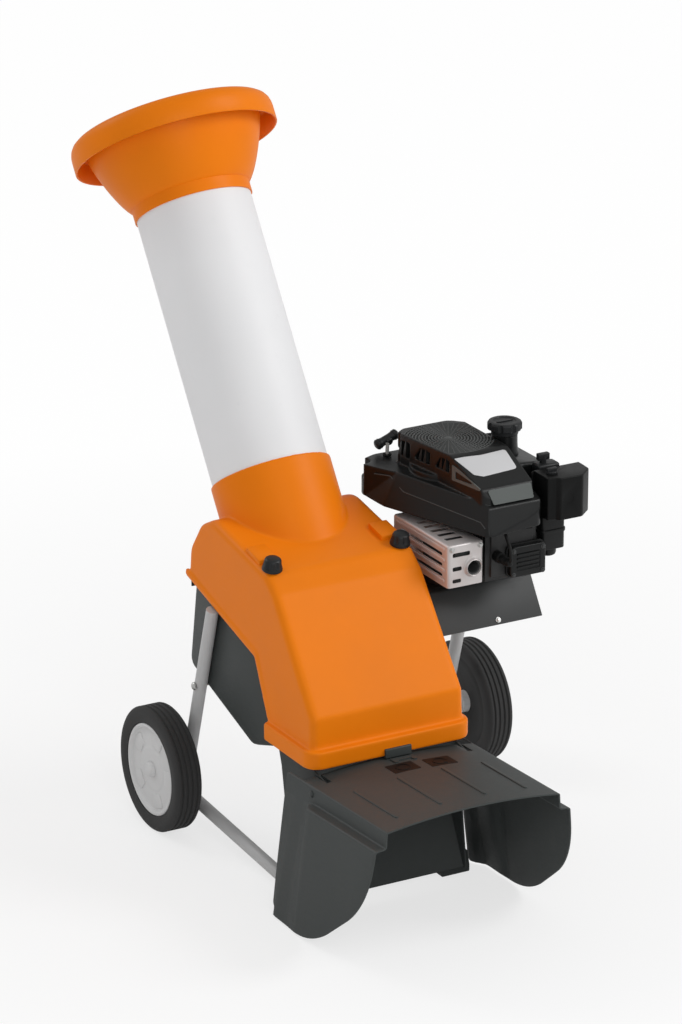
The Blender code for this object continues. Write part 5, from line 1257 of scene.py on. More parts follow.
@dataclass
class Chute(SubAssembly):
    """Lower housing, throat and the hinged discharge flap."""

    pivot: tuple[float, float] = (-0.525, 0.264)
    top_half: float = 0.184
    step_half: float = 0.207
    foot_half: float = 0.24
    edge_z: float = 0.2764
    camber: float = 0.014
    step: float = 0.03
    rise: float = 0.047
    back_y: float = -0.49
    front_y: float = -0.8
    wall: float = 0.003
    rib_places: tuple[float, ...] = (-0.137, -0.044, 0.05, 0.137)

    def build(self) -> None:
        """Build and place the pieces."""
        self.refine("lower_housing", Finishes.DARK_GREY, 0.0015, 2, 24.0)
        self.refine("discharge_throat", Finishes.DARK_GREY, 0.0008, 2, 40.0)
        self.refine("belt_guard", Finishes.DARK_GREY, 0.001, 2, 40.0)
        flap = self.flap()
        Bench.soften(flap, 0.0007, 2, 38.0)
        self.show(flap, Finishes.DARK_GREY, "discharge_flap", angle=30.0)
        for index, offset in enumerate(self.rib_places):
            self.show(self.rib(index, offset), Finishes.DARK_GREY, body="flap")
        for index, (x, y) in enumerate(((-0.1371, -0.5584), (-0.0604, -0.5637))):
            self.show(self.grip_mark(index, x, y), Finishes.GRILLE_BLACK, body="flap")
        self.show(self.keeper(), Finishes.DARK_GREY, body="flap")
        for name, side in SIDES:
            self.pin(name, side)

    def on_top(self, point: Vector) -> float:
        """Return the height of a point that is measured from the flap's top."""
        fall = ((point.x - CHUTE_X) / self.top_half) ** 2
        return point.z + (self.edge_z + self.camber * (1.0 - fall) + self.rise * (self.back_y - point.y))

    def section(self) -> list[Point2]:
        """Return the flap's outer face from the left foot over the top to the right foot."""
        top = [(self.top_half * step / 16, self.edge_z + self.camber * (1.0 - (step / 16) ** 2))
            for step in range(16)]
        low = self.edge_z - self.step
        corner = fillet([(0.16, self.edge_z + 0.0034), (self.top_half, self.edge_z, 0.004),
            (self.top_half + 0.002, low - 0.0005, 0.004), (self.step_half, low - 0.003, 0.006),
            (self.foot_half, -0.02)], 4)
        half = top + corner[1:]
        return [(-x, z) for x, z in half[:0:-1]] + half

    def flap(self) -> Item:
        """Make the flap: a cambered top, a stepped edge and two splayed cheeks.

        Returns:
            The flap.
        """
        start, step, steps = self.front_y - 0.03, 0.0105, 40
        flap = Bench.wire("curved_discharge_flap", [(CHUTE_X + x, start, z) for x, z in self.section()])
        with Bench.editing(flap):
            for _ in range(steps):
                bpy.ops.mesh.extrude_region_move(TRANSFORM_OT_translate={"value": (0.0, step, 0.0)})
        Bench.reshape(flap, self.drawn_in)
        Bench.finish_with(flap, "SOLIDIFY", thickness=self.wall, offset=-1.0, use_even_offset=True)
        Bench.relevel(flap, lambda point: point.z + self.rise * (self.back_y - point.y))
        view = fillet([(-0.432, 0.4), (-0.426, 0.1), (-0.426, 0.004, 0.012), (-0.612, 0.004, 0.2),
            (-0.79, 0.145, 0.19), (self.front_y, 0.26), (self.front_y, 0.4)], 12)
        Bench.combine(flap, "INTERSECT", Bench.prism("view", view, Axis.X, CHUTE_X - 0.4, CHUTE_X + 0.4))
        reach = self.top_half - self.wall
        Bench.cut(flap, Bench.box("behind", (CHUTE_X - reach, self.back_y, 0.1),
            (CHUTE_X + reach, 0.0, 0.5)))
        y, z = self.pivot
        for side in (-1, 1):
            low, high = sorted((CHUTE_X + side * 0.1465, CHUTE_X + side * 0.1575))
            Bench.cut(flap, Bench.box("slot", (low, y - 0.006, 0.2), (high, 0.0, 0.5)))
        Bench.cut(flap, Bench.rod("hole", (CHUTE_X - 0.3, y, z), (CHUTE_X + 0.3, y, z), 0.0043, 32))
        return flap

    def drawn_in(self, point: Vector) -> Vector:
        """Draw the rear of a cheek in towards the housing, behind a slanted crease.

        Args:
            point: A point of the flap.
        """
        side = 1.0 if point.x > CHUTE_X else -1.0
        out = abs(point.x - CHUTE_X)
        if out < self.top_half - 0.006:
            return point
        crease = -0.468 - 1.4 * max(0.0, point.z) ** 2
        share = min(1.0, max(0.0, (point.y - crease) / 0.04)) * min(1.0,
            max(0.0, (self.edge_z - point.z) / 0.004))
        rear = 0.216 - 0.112 * point.z
        out += (rear - out) * share * share * (3.0 - 2.0 * share)
        return Vector((CHUTE_X + side * out, point.y, point.z))

    def keeper(self) -> Item:
        """Make the flat catch on the flap, in front of the hood's clip.

        Returns:
            The catch.
        """
        x = CHUTE_X + 0.012
        plan = fillet([(x - 0.024, -0.534, 0.003), (x - 0.016, -0.534, 0.002), (x - 0.014, -0.526, 0.002),
            (x + 0.014, -0.526, 0.002), (x + 0.016, -0.534, 0.002), (x + 0.024, -0.534, 0.003),
            (x + 0.024, -0.513), (x - 0.024, -0.513)], 3)
        keeper = Bench.prism("flap_keeper", plan, Axis.Z, -0.0006, 0.0024)
        return Bench.relevel(keeper, self.on_top)

    def rib(self, index: int, offset: float) -> Item:
        """Make one long flat rib that follows the flap's top.

        Args:
            index: Number of the rib.
            offset: Its distance from the flap's middle.

        Returns:
            The rib.
        """
        x = CHUTE_X + offset
        plan = fillet([(x - 0.0035, -0.757, 0.0034), (x + 0.0035, -0.757, 0.0034),
            (x + 0.0035, -0.598, 0.0034), (x - 0.0035, -0.598, 0.0034)], 5)
        rib = Bench.prism(f"flap_rib_{index}", plan, Axis.Z, -0.0006, 0.0018)
        Bench.bevel(rib, 0.0011, 3, above(0.0017))
        return Bench.relevel(rib, self.on_top)

    def grip_mark(self, index: int, x: float, y: float) -> Item:
        """Make one bare square field with a ring, for the thumb that lifts the flap.

        Args:
            index: Number of the field.
            x: Middle across the flap.
            y: Middle along the flap.

        Returns:
            The field.
        """
        plan = fillet([(x - 0.028, y - 0.021, 0.003), (x + 0.028, y - 0.021, 0.003),
            (x + 0.028, y + 0.021, 0.003), (x - 0.028, y + 0.021, 0.003)], 4)
        field_plate = Bench.prism(f"thumb_field_{index}", plan, Axis.Z, -0.0006, 0.0005)
        ring = Bench.lathe("ring", mm((12.5, 0.3), (15, 0.3), (14.7, 1.2), (12.8, 1.2)), 48, (x, y, 0.0),
            closed=True)
        return Bench.relevel(Bench.join(field_plate, ring), self.on_top)

    def pin(self, name: str, side: int) -> None:
        """Turn one pivot pin of the flap.

        Args:
            name: left or right.
            side: -1 on the left and 1 on the right.
        """
        head = self.top_half + 0.0018
        profile = [(0.0, head + 0.0042), (0.0035, head + 0.004), (0.0058, head + 0.003),
            (0.007, head + 0.0012), (0.007, head), (0.004, head), (0.004, 0.1475), (0.0034, 0.1467),
            (0.0, 0.1467)]
        pin = Bench.lathe(f"{name}_domed_pin", profile, 40, (CHUTE_X, *self.pivot), (side, 0, 0))
        self.show(pin, Finishes.DARK_GREY, f"{name}_flap_pin")


@dataclass
class Hood(SubAssembly):
    """Moulded hood that covers the cutting unit, with its clip, knobs and hinge pin."""

    half: float = 0.16
    draft: float = 0.03
    lip_half: float = 0.176
    wall: float = 0.003
    collar_low: float = 0.548
    knob_spread: float = 0.138
    knob_y: float = -0.288
    fall: float = 0.04 / 0.215

    @property
    def knob_aim(self) -> Vector:
        """The way the knobs point, square to the hood's falling top."""
        angle = math.atan(self.fall)
        return Vector((0.0, -math.sin(angle), math.cos(angle)))

    def knob_base(self, side: int) -> Vector:
        """Return the face that a knob stands on."""
        height = 0.618 + (self.knob_y + 0.3) * self.fall
        return Vector((CHUTE_X + side * self.knob_spread, self.knob_y, height)) + self.knob_aim * 0.005

    def build(self) -> None:
        """Build and place the pieces."""
        self.show(self.shell(), Finishes.ORANGE, "hood", angle=42.0)
        self.show(self.clip(), Finishes.DARK_GREY, "lip_clip")
        for name, side in SIDES:
            self.show(self.knob(name, side), Finishes.KNOB_BLACK, f"{name}_knob")
            top = self.knob_base(side) - self.knob_aim * 0.0183
            foot = top - self.knob_aim * ((top.z - 0.5103) / self.knob_aim.z)
            post = Bench.rod(f"{name}_threaded_post", foot, top, 0.008, 32)
            Bench.soften(post, 0.0012, 2, 60.0)
            self.show(post, Finishes.ZINC, f"{name}_lock_post")
        pin = mm((0, 101.5), (6, 101.5), (6.9, 100.6), (6.9, 98.6), (4, 98.6), (4, -101), (3.4, -101.6),
            (0, -101.6))
        self.show(Bench.lathe("hinge_pin_turned", pin, 40, (CHUTE_X, 0.034, 0.514), (1, 0, 0)),
            Finishes.ZINC, "hood_hinge_pin")

    def narrowed(self, point: Vector) -> Vector:
        """Draw a point in towards the middle the higher it lies."""
        factor = 1.0 + self.draft * (0.588 - point.z) / (0.588 - 0.295)
        return Vector((CHUTE_X + (point.x - CHUTE_X) * factor, point.y, point.z))

    def body(self, name: str, inset: float) -> Item:
        """Make the hood's body as a solid, or the room inside it.

        Args:
            name: The solid's name.
            inset: 0 for the outside, or the wall's thickness.

        Returns:
            The solid.
        """
        top = mm((-491, 295), (-487, 392, 16), (-338, 588, 34), (-300, 618, 34), (-85, 658, 60),
            (-35, 632, 30), (5, 575, 40))
        under = mm((10, 514), (-262, 440), (-312, 341), (-318, 295))
        side = fillet(top + under, 9)[::-1]
        half = self.half - inset
        if inset:
            side = inset_loop(side, inset)
            side = [(y, z) if not self.is_under(y, z) else (y + 0.03, z - 0.03) for y, z in side]
        block = Bench.prism(name, side, Axis.X, CHUTE_X - half, CHUTE_X + half)
        rounding = 0.0135 - inset

        def outer_rim(edge: object) -> bool:
            """Say whether an edge runs round a side face above the parting line."""
            first, second = (vertex.co for vertex in edge.verts)
            flat = abs(first.x - second.x) < 1e-5
            middle = (first + second) / 2
            return flat and not self.is_under(middle.y, middle.z) and middle.z > 0.3

        Bench.bevel(block, rounding, 5, outer_rim)
        Bench.reshape(block, self.narrowed)
        return block

    @staticmethod
    def is_under(y: float, z: float) -> bool:
        """Say whether a point of the side view lies on the open underside.

        Args:
            y: Place along the hood.
            z: Height.
        """
        line = ((-0.49, 0.299), (-0.316, 0.299), (-0.307, 0.345), (-0.258, 0.446), (0.014, 0.519))
        if y < -0.316:
            return z < 0.299
        for (y0, z0), (y1, z1) in pairwise(line):
            if y0 <= y <= y1:
                return z < z0 + (z1 - z0) * (y - y0) / (y1 - y0)
        return False

    def shell(self) -> Item:
        """Make the moulding: body, lip, flange, knob seats and collar melted together, then hollowed.

        Returns:
            The hood.
        """
        base, aim = TUBE_BASE, TUBE_AIM
        hood = self.body("moulded_hood", 0.0)
        half, low, high = self.lip_half, 0.295, 0.331
        plan = fillet([(CHUTE_X - half, -0.318, 0.006), (CHUTE_X - half, -0.503, 0.03),
            (CHUTE_X + half, -0.503, 0.03), (CHUTE_X + half, -0.318, 0.006)], 8)
        lip = Bench.prism("lip", plan, Axis.Z, low, high)
        Bench.bevel(lip, 0.0035, 3, is_level)
        rim_half = self.half + 0.0045
        rim = Bench.prism("rim", mm((-330, 331), (-271, 452), (14, 528), (14, 514), (-262, 440),
            (-312, 331))[::-1], Axis.X, CHUTE_X - rim_half, CHUTE_X + rim_half)
        collar = Bench.lathe("collar", mm((0, -180), (118.8, -180), (118.8, -1.2), (117.8, 0), (0, 0)), 112,
            base, aim)
        Bench.fuse(hood, lip, rim, collar)
        for side in (-1, 1):
            foot = self.knob_base(side)
            Bench.fuse(hood, Bench.lathe("boss", mm((0, -20), (13.8, -20), (13.4, -1), (12.8, 0), (0, 0)),
                64, foot, self.knob_aim))
        Bench.blended(hood, 0.0027, 7, 0.5)
        Bench.cut(hood, self.body("room", self.wall))
        Bench.fuse(hood, self.collar_wall())
        Bench.cut(hood, Bench.rod("bore", base - aim * 0.3, base + aim * 0.05, TUBE_RADIUS + 0.0003, 112))
        for side in (-1, 1):
            foot = self.knob_base(side)
            Bench.cut(hood, Bench.rod("hole", foot - self.knob_aim * 0.03, foot + self.knob_aim * 0.01,
                0.0053, 32))
            Bench.fuse(hood, self.lug(side))
            Bench.fuse(hood, self.seat(side))
        Bench.cut(hood, Bench.rod("pin_bore", (CHUTE_X - 0.3, 0.034, 0.514), (CHUTE_X + 0.3, 0.034, 0.514),
            0.0043, 32))
        clear = 0.512
        deck = [(0.08, clear), (-0.2925, clear), (-0.3425, 0.434), (-0.345, 0.25), (0.08, 0.25)]
        return Bench.cut(hood, Bench.prism("deck", deck, Axis.X, CHUTE_X + 0.05, CHUTE_X + 0.3))

    def seat(self, side: int) -> Item:
        """Make the raised square seat behind a knob.

        Args:
            side: -1 on the left and 1 on the right.

        Returns:
            The seat.
        """
        x = CHUTE_X + side * 0.132
        seat = Bench.box("seat", (x - 0.02, -0.264, -0.002), (x + 0.02, -0.212, 0.009), 0.0016, 2)
        return Bench.relevel(seat, lambda point: point.z + 0.618 + (point.y + 0.3) * self.fall)

    def collar_wall(self) -> Item:
        """Make the part of the collar that stands inside the hood.

        Returns:
            The wall as a solid bar, still to be bored.
        """
        base, aim = TUBE_BASE, TUBE_AIM
        bar = Bench.rod("inner_collar", base - aim * 0.25, base - aim * 0.004, 0.1186, 112)
        under = Bench.box("under", (CHUTE_X - 0.3, -0.6, 0.0), (CHUTE_X + 0.3, 0.3, self.collar_low))
        return Bench.cut(bar, under)

    def lug(self, side: int) -> Item:
        """Make one hinge lug.

        Args:
            side: -1 on the left and 1 on the right.

        Returns:
            The lug.
        """
        x = CHUTE_X + side * 0.085
        view = fillet(mm((-10, 513), (-10, 536), (42, 524, 7), (42, 506, 7), (26, 506, 4), (24, 513)), 6)
        return Bench.prism("lug", view[::-1], Axis.X, x - 0.009, x + 0.009)

    def clip(self) -> Item:
        """Return the clip on the hood's lip."""
        view = fillet(mm((-503.3, 311), (-507.8, 311, 2.8), (-508.8, 293.4, 1), (-481.3, 293.2),
            (-481.3, 294.7), (-503.3, 294.7)), 4)
        return Bench.soften(Bench.prism("lip_catch", view[::-1], Axis.X, CHUTE_X - 0.018, CHUTE_X + 0.038),
            0.0005, 2, 50.0)

    def knob(self, name: str, side: int) -> Item:
        """Make one fluted knob with its screw.

        Args:
            name: left or right.
            side: -1 on the left and 1 on the right.

        Returns:
            The knob.
        """
        profile = mm((0, 21.6), (7, 21.4), (12.2, 20.4), (15.2, 18.2), (16.6, 15), (17.4, 8), (18.6, 3),
            (19.7, -0.6), (19.7, -3.4), (19, -4), (16.6, -4), (15, -1), (15, 0.3), (5, 0.3), (5, -17.8),
            (4.4, -18.4), (0, -18.4))
        knob = Bench.lathe(f"{name}_fluted_knob", profile, 96)
        for index in range(6):
            angle = 2 * math.pi * (index + 0.5) / 6
            x, y = 0.0228 * math.cos(angle), 0.0228 * math.sin(angle)
            Bench.cut(knob, Bench.lathe("flute", mm((0, 30), (8.2, 30), (7.8, 7.5), (6, 3), (0, 1.5)), 32,
                (x, y, 0.0)))
        Bench.soften(knob, 0.0004, 2, 40.0)
        return Bench.stand(knob, self.knob_base(side), self.knob_aim)


@dataclass
class Feed(SubAssembly):
    """Leaning tube and the flared hopper on its end."""

    length: float = 0.541
    steps: int = 128

    def build(self) -> None:
        """Build and place the pieces."""
        tube = mm((114.2, -60), (114.5, -59.6), (114.5, 552.6), (114.2, 553), (113.3, 553), (113, 552.6),
            (113, -59.6), (113.3, -60))
        self.show(Bench.lathe("rolled_tube", tube, self.steps, TUBE_BASE, TUBE_AIM, True), Finishes.SILVER,
            "hopper_tube")
        self.show(self.seam(), Finishes.SILVER, body="hood_unit")
        outside = mm((114.8, 0), (117.8, 0), (117.8, 20))
        flare = flow(mm((118, 23.5), (122.5, 27.5), (134.5, 45), (149.5, 75), (161.5, 105), (170, 130),
            (173.5, 146), (175.7, 162)), 3)
        brim = mm((177.5, 166), (180, 167.2), (195.5, 167.2), (198.2, 165.2), (199.2, 160), (199.5, 124.5),
            (200, 124), (202.6, 124), (203, 124.6), (203, 152), (202.4, 159), (200.4, 166.4),
            (196.4, 172.8), (190.8, 176.8), (185, 178.2), (177.5, 178.2), (175.5, 177.5), (174.4, 175.5))
        inside = flow(mm((173.8, 172), (170.5, 148), (166, 125), (158.5, 105), (146.5, 76), (131.5, 47),
            (118, 32.5)), 3)
        seat = mm((112, 28.5), (112, 12.3), (114.8, 12.3))
        profile = [(radius, height + self.length) for radius, height in outside + flare + brim + inside
            + seat]
        self.show(Bench.lathe("flared_hopper", profile, self.steps, TUBE_BASE, TUBE_AIM, True),
            Finishes.ORANGE, "hopper", angle=50.0)

    def seam(self) -> Item:
        """Make the riveted lap seam along the back of the tube.

        Returns:
            The seam with its rivets.
        """
        radius = TUBE_RADIUS
        span = math.radians(4.6)
        arc_out = [(-(radius + 0.0007) * math.sin(angle), (radius + 0.0007) * math.cos(angle))
            for angle in (span * (step / 5 - 1) for step in range(11))]
        arc_in = [(x * 0.992, y * 0.992) for x, y in arc_out]
        seam = Bench.prism("riveted_seam", arc_in + arc_out[::-1], Axis.Z, 0.003, 0.538)
        for index in range(7):
            rivet = Bench.lathe("rivet", mm((0, 2), (1.6, 1.7), (2.8, 0.8), (3.1, -0.6), (0, -0.6)), 20,
                (0.0, radius + 0.0005, 0.03 + 0.08 * index), (0, 1, 0))
            Bench.join(seam, rivet)
        seam.location = TUBE_BASE
        seam.rotation_euler = (-TUBE_LEAN, 0.0, 0.0)
        return Bench.put(seam)


class Cutter(SubAssembly):
    """Disc, knives and bearings, which show only through the openings."""

    def build(self) -> None:
        """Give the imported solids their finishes."""
        self.refine("blade_disc", Finishes.BLACK_STEEL, 0.0006, 2, 40.0)
        self.coat(Finishes.GROUND, "counter_blade", "first_knife", "second_knife")
        self.coat(Finishes.ZINC, "blade_shaft", "disc_bolt", "upper_bearing", "lower_bearing", "crankshaft")
        self.coat(Finishes.BLACK_STEEL, "chamber_ring")
        self.coat(Finishes.CAST, "bearing_housing", "blade_pulley", "crank_pulley", "flywheel")
        self.coat(Finishes.BELT, "drive_belt")
        self.coat(Finishes.FOAM, "filter_element")


@dataclass
class EngineCover(SubAssembly):
    """Black cover over the flywheel: two tiers, a round grille, side vents and a bare plate."""

    centre: tuple[float, float] = (0.168, -0.2)
    bottom: float = 0.655
    tier: float = 0.722
    top: float = 0.78
    wall: float = 0.003
    right: float = 0.245
    grille_radius: float = 0.09
    rings: int = 13
    bars: int = 48
    flank_lean: float = 0.034
    openings: tuple[tuple[float, float, float, float], ...] = ((-0.114, -0.164, 0.737, -0.138),
        (-0.177, -0.226, 0.743, -0.197), (-0.242, -0.285, 0.745, -0.258))

    def build(self) -> None:
        """Build and place the pieces."""
        self.show(self.shell(), Finishes.ENGINE_BLACK, "engine_cover", angle=34.0)
        self.show(self.grille(), Finishes.GRILLE_BLACK)
        self.show(self.ridges(), Finishes.RING_GREY)
        self.show(self.plate(), Finishes.SILVER_PLATE)
        self.show(self.facet(), Finishes.NOSE_STRIP)
        self.show(self.side_panel(), Finishes.NOSE_STRIP)
        self.show(self.flank_line(), Finishes.RING_GREY)

    def lower_plan(self) -> list[Point2]:
        """Return the plan of the lower tier, with a nose in front and a lobe for the starter."""
        rear = arc(self.centre, 0.138, 62.0, 34.0, 14)
        return fillet([(0.1245, -0.425, 0.018), (0.2545, -0.409, 0.018), (0.2545, -0.33, 0.01),
            (self.right, -0.318, 0.006), (self.right, -0.1, 0.012), *rear, (0.082, -0.062, 0.026),
            (0.037, -0.08, 0.034), (0.038, -0.176, 0.024)], 9)

    def upper_plan(self) -> list[Point2]:
        """Return the plan of the upper tier: round behind, with straight sides to the nose."""
        return arc(self.centre, 0.102, 54.0, 78.0, 24) + fillet([(0.0992, -0.132, 0.004),
            (0.1335, -0.392, 0.014), (0.246, -0.392, 0.014), (self.right - 0.001, -0.134)], 7)

    def side_x(self, y: float) -> float:
        """Return where the upper tier's left wall stands."""
        return 0.0992 + (-0.132 - y) * (0.1335 - 0.0992) / 0.26

    def leaned(self, point: Vector) -> Vector:
        """Lean the lower tier's left flank in towards its top.

        Args:
            point: A point of the lower tier.
        """
        rise = max(0.0, (point.z - self.bottom) / (self.tier - self.bottom))
        along = min(1.0, max(0.0, (-0.112 - point.y) / 0.05))
        across = min(1.0, max(0.0, (0.18 - point.x) / 0.07))
        return Vector((point.x + self.flank_lean * rise * along * across, point.y, point.z))

    def solid(self, name: str, inset: float) -> Item:
        """Make the cover as a solid of two tiers, or the room inside it.

        Args:
            name: The solid's name.
            inset: 0 for the outside, or the wall's thickness.

        Returns:
            The solid.
        """
        floor, below = self.bottom - 2 * inset, self.bottom - 0.015
        lower = Bench.prism(name, inset_loop(self.lower_plan(), inset), Axis.Z, floor, self.tier)
        Bench.reshape(lower, self.leaned)
        upper = Bench.prism("upper", inset_loop(self.upper_plan(), inset), Axis.Z, floor + 0.001,
            self.top + 0.01)
        low_view = fillet([(-0.03, self.tier - 0.002), (-0.03, below), (-0.431, below),
            (-0.401, self.tier - 0.018, 0.005), (-0.383, self.tier - 0.01, 0.01),
            (-0.2, self.tier - 0.004)], 6)
        high_view = fillet([(-0.03, self.tier), (-0.03, below), (-0.43, below),
            (-0.383, self.tier + 0.015, 0.012), (-0.288, self.top, 0.034), (-0.108, self.top, 0.012),
            (-0.085, self.tier + 0.03)], 8)
        for block, view in ((lower, low_view), (upper, high_view)):
            turned = view if self.area(view) > 0 else view[::-1]
            keep = Bench.prism("view", inset_loop(turned, inset), Axis.X, -0.1, 0.4)
            Bench.combine(block, "INTERSECT", keep)
        return Bench.fuse(lower, upper)

    @staticmethod
    def area(points: Sequence[Point2]) -> float:
        """Return twice the signed area of an outline."""
        return sum(here[0] * there[1] - there[0] * here[1]
            for here, there in zip(points, [*points[1:], points[0]]))

    def shell(self) -> Item:
        """Make the moulding, with its open grille, posts and vents.

        Returns:
            The cover.
        """
        cover = self.solid("moulded_engine_cover", 0.0)
        fan_room = mm((0, 700), (74.5, 700), (74.5, 727.5), (73.5, 729), (0, 729))
        Bench.fuse(cover, Bench.lathe("fan_room", fan_room, 96, (*self.centre, 0.0)))
        Bench.cut(cover, *self.vents())
        Bench.blended(cover, 0.0016, 3, 0.42)
        Bench.cut(cover, self.solid("room", self.wall))
        Bench.cut(cover, Bench.rod("fan", (*self.centre, 0.676), (*self.centre, 0.7268), 0.0716, 96))
        hole = Bench.rod("hole", (*self.centre, self.top - 0.02), (*self.centre, self.top + 0.02),
            self.grille_radius - 0.001, 96)
        Bench.cut(cover, self.trimmed(hole))
        posts = [Bench.rod("post", (x, -0.308, 0.6453), (x, -0.308, 0.745), 0.006, 32)
            for x in (0.158, 0.236)]
        return Bench.fuse(cover, *self.gussets(), *posts)

    def vents(self) -> list[Item]:
        """Make the three openings in the left wall of the upper tier.

        Returns:
            The solids to cut away.
        """
        cutters = [Bench.rod("notch", (0.043, -0.084, 0.69), (0.043, -0.084, 0.73), 0.017, 32)]
        for rear, front, low, rear_top in self.openings:
            view = fillet([(front, low, 0.002), (rear, low, 0.002), (rear_top, 0.767, 0.002),
                (front, 0.767, 0.002)], 3)
            x = self.side_x((rear + front) / 2)
            cutters.append(Bench.prism("vent", view, Axis.X, x - 0.02, x + 0.0085))
        return cutters

    def gussets(self) -> list[Item]:
        """Make the two leaning webs inside each side opening.

        Returns:
            The webs.
        """
        webs = []
        for rear, front, low, rear_top in self.openings:
            x = self.side_x((rear + front) / 2)
            for share in (0.4, 0.74):
                foot = rear + (front - rear) * share
                view = [(foot - 0.0015, low), (foot + 0.0095, low), (foot - 0.0005, 0.77),
                    (foot - 0.0035, 0.77)]
                webs.append(Bench.prism("web", view, Axis.X, x + 0.001, x + 0.009))
        return webs

    def grille(self) -> Item:
        """Make the black disc under the openings of the grille: painted shade that stands for the dark room
        seen through them.
        """
        reach, base = self.grille_radius - 0.0012, self.top - 0.0042
        return self.trimmed(Bench.lathe("grille_bed", [(0.0, base), (reach, base), (reach, base + 0.0008),
            (0.0, base + 0.0008)], 96, (*self.centre, 0.0)))

    def ridges(self) -> Item:
        """Make the rings and the radial bars that stand on the bed, in a lighter grey that paints the
        highlight on their tops.

        Returns:
            The ridges with their hub.
        """
        reach, hub, base = self.grille_radius - 0.0012, 0.0085, self.top - 0.0042
        pitch = (reach - hub) / self.rings
        top = base + 0.0044
        cap = [(0.0, top + 0.0004), (hub - 0.001, top), (hub, top - 0.0006), (hub, base + 0.0006),
            (0.0, base + 0.0006)]
        rings = [Bench.lathe("ridged_grille", cap, 72, (*self.centre, 0.0))]
        for index in range(self.rings):
            outer = reach - pitch * index
            inner = outer - pitch * 0.42
            section = [(inner, base + 0.0006), (outer, base + 0.0006), (outer, top - 0.0006),
                (outer - 0.0006, top), (inner + 0.0006, top), (inner, top - 0.0006)]
            rings.append(Bench.lathe("ring", section, 96, (*self.centre, 0.0), closed=True))
        for count, low, high in ((self.bars, 0.48, 1.0), (self.bars // 2, 0.1, 0.52)):
            bar = Bench.box("bar", (reach * low, -0.0008, base + 0.0006),
                (reach * high, 0.0008, top - 0.0004))
            bars = Bench.array_turned(bar, count)
            Bench.join(bars[0], *bars[1:])
            bars[0].location = (*self.centre, 0.0)
            rings.append(Bench.put(bars[0]))
        return self.trimmed(Bench.join(*rings))

    def trimmed(self, item: Item) -> Item:
        """Trim a part of the grille to the straight rims on its left and right.

        Args:
            item: The bed or the ridges.

        Returns:
            The same object.
        """
        Bench.slice(item, (self.right - 0.0055, 0.0, 0.0), (1, 0, 0))
        low, high = -0.392, -0.132
        along = Vector((self.side_x(low) - self.side_x(high), low - high, 0.0)).normalized()
        out = Vector((along.y, -along.x, 0.0))
        return Bench.slice(item, Vector((self.side_x(high), high, 0.0)) - out * 0.0048, out)

    def slope(self, y: float) -> float:
        """Return the height of the sloping front of the upper tier."""
        return self.top + (y + 0.288) * (self.top - self.tier - 0.015) / 0.095

    def plate(self) -> Item:
        """Make the bare plate on the slope between the grille and the nose.

        Returns:
            The plate.
        """
        plan = fillet(mm((139.5, -343.8, 4), (156, -352, 6), (233, -347.5, 7), (235, -297.5, 5),
            (180, -301, 90), (121.5, -294.5, 4)), 8)
        plate = Bench.prism("bare_slope_plate", plan, Axis.Z, -0.0012, 0.001)
        Bench.bevel(plate, 0.0005, 2, above(0.0009))
        with Bench.editing(plate):
            bpy.ops.mesh.bisect(plane_co=(0.0, -0.312, 0.0), plane_no=(0, 1, 0))
        return Bench.relevel(plate, lambda point: point.z + self.slope(point.y)
            - max(0.0, point.y + 0.304) * 0.16)

    def facet(self) -> Item:
        """Make the grey facet across the top of the nose: a painted highlight where the nose's chamfer
        catches the light.

        Returns:
            The facet.
        """
        plan = fillet(mm((152, -29, 3), (240, -29, 4), (240.5, 0, 3), (145, 0, 3)), 5)
        facet = Bench.prism("nose_facet", plan, Axis.Z, -0.0014, 0.0003)
        facet.location = (0.0, -0.3853, self.tier + 0.013)
        facet.rotation_euler = (math.atan2(0.097, 0.047), 0.0, 0.0)
        return Bench.put(facet)

    def side_panel(self) -> Item:
        """Make the satin panel with a slanted slot on the left wall, in front of the openings.

        Returns:
            The panel.
        """
        view = fillet(mm((-380, 735, 2), (-296, 733, 2), (-296, 764, 2), (-320, 759, 20), (-380, 739.5, 1)),
            4)
        panel = Bench.prism("side_panel", view, Axis.X, -0.001, 0.0012)
        slot = fillet(mm((-356, 741, 1), (-306, 738.5, 2), (-306, 754, 2), (-356, 745, 1)), 4)
        Bench.cut(panel, Bench.prism("slot", slot, Axis.X, -0.01, 0.01))
        return Bench.reshape(panel, lambda point: Vector((self.side_x(point.y) - 0.0004 + point.x,
            *point.yz)))

    def flank_line(self) -> Item:
        """Make the thin raised grey line along the leaning flank to the nose: a painted highlight on the
        flank's crease.

        Returns:
            The line.
        """
        corners = mm((-128, 706), (-160, 708), (-205, 690), (-395, 678), (-410, 670))
        route = [(self.flank_x(y, z), y, z) for y, z in corners]
        return Bench.pipe("flank_line", route, 0.001, [0.012, 0.015, 0.006], 3)

    def flank_x(self, y: float, z: float) -> float:
        """Return where the leaning flank stands."""
        foot = 0.038 + max(0.0, -0.176 - y) * (0.1245 - 0.038) / (0.425 - 0.176)
        return self.leaned(Vector((foot, y, z))).x - 0.0002


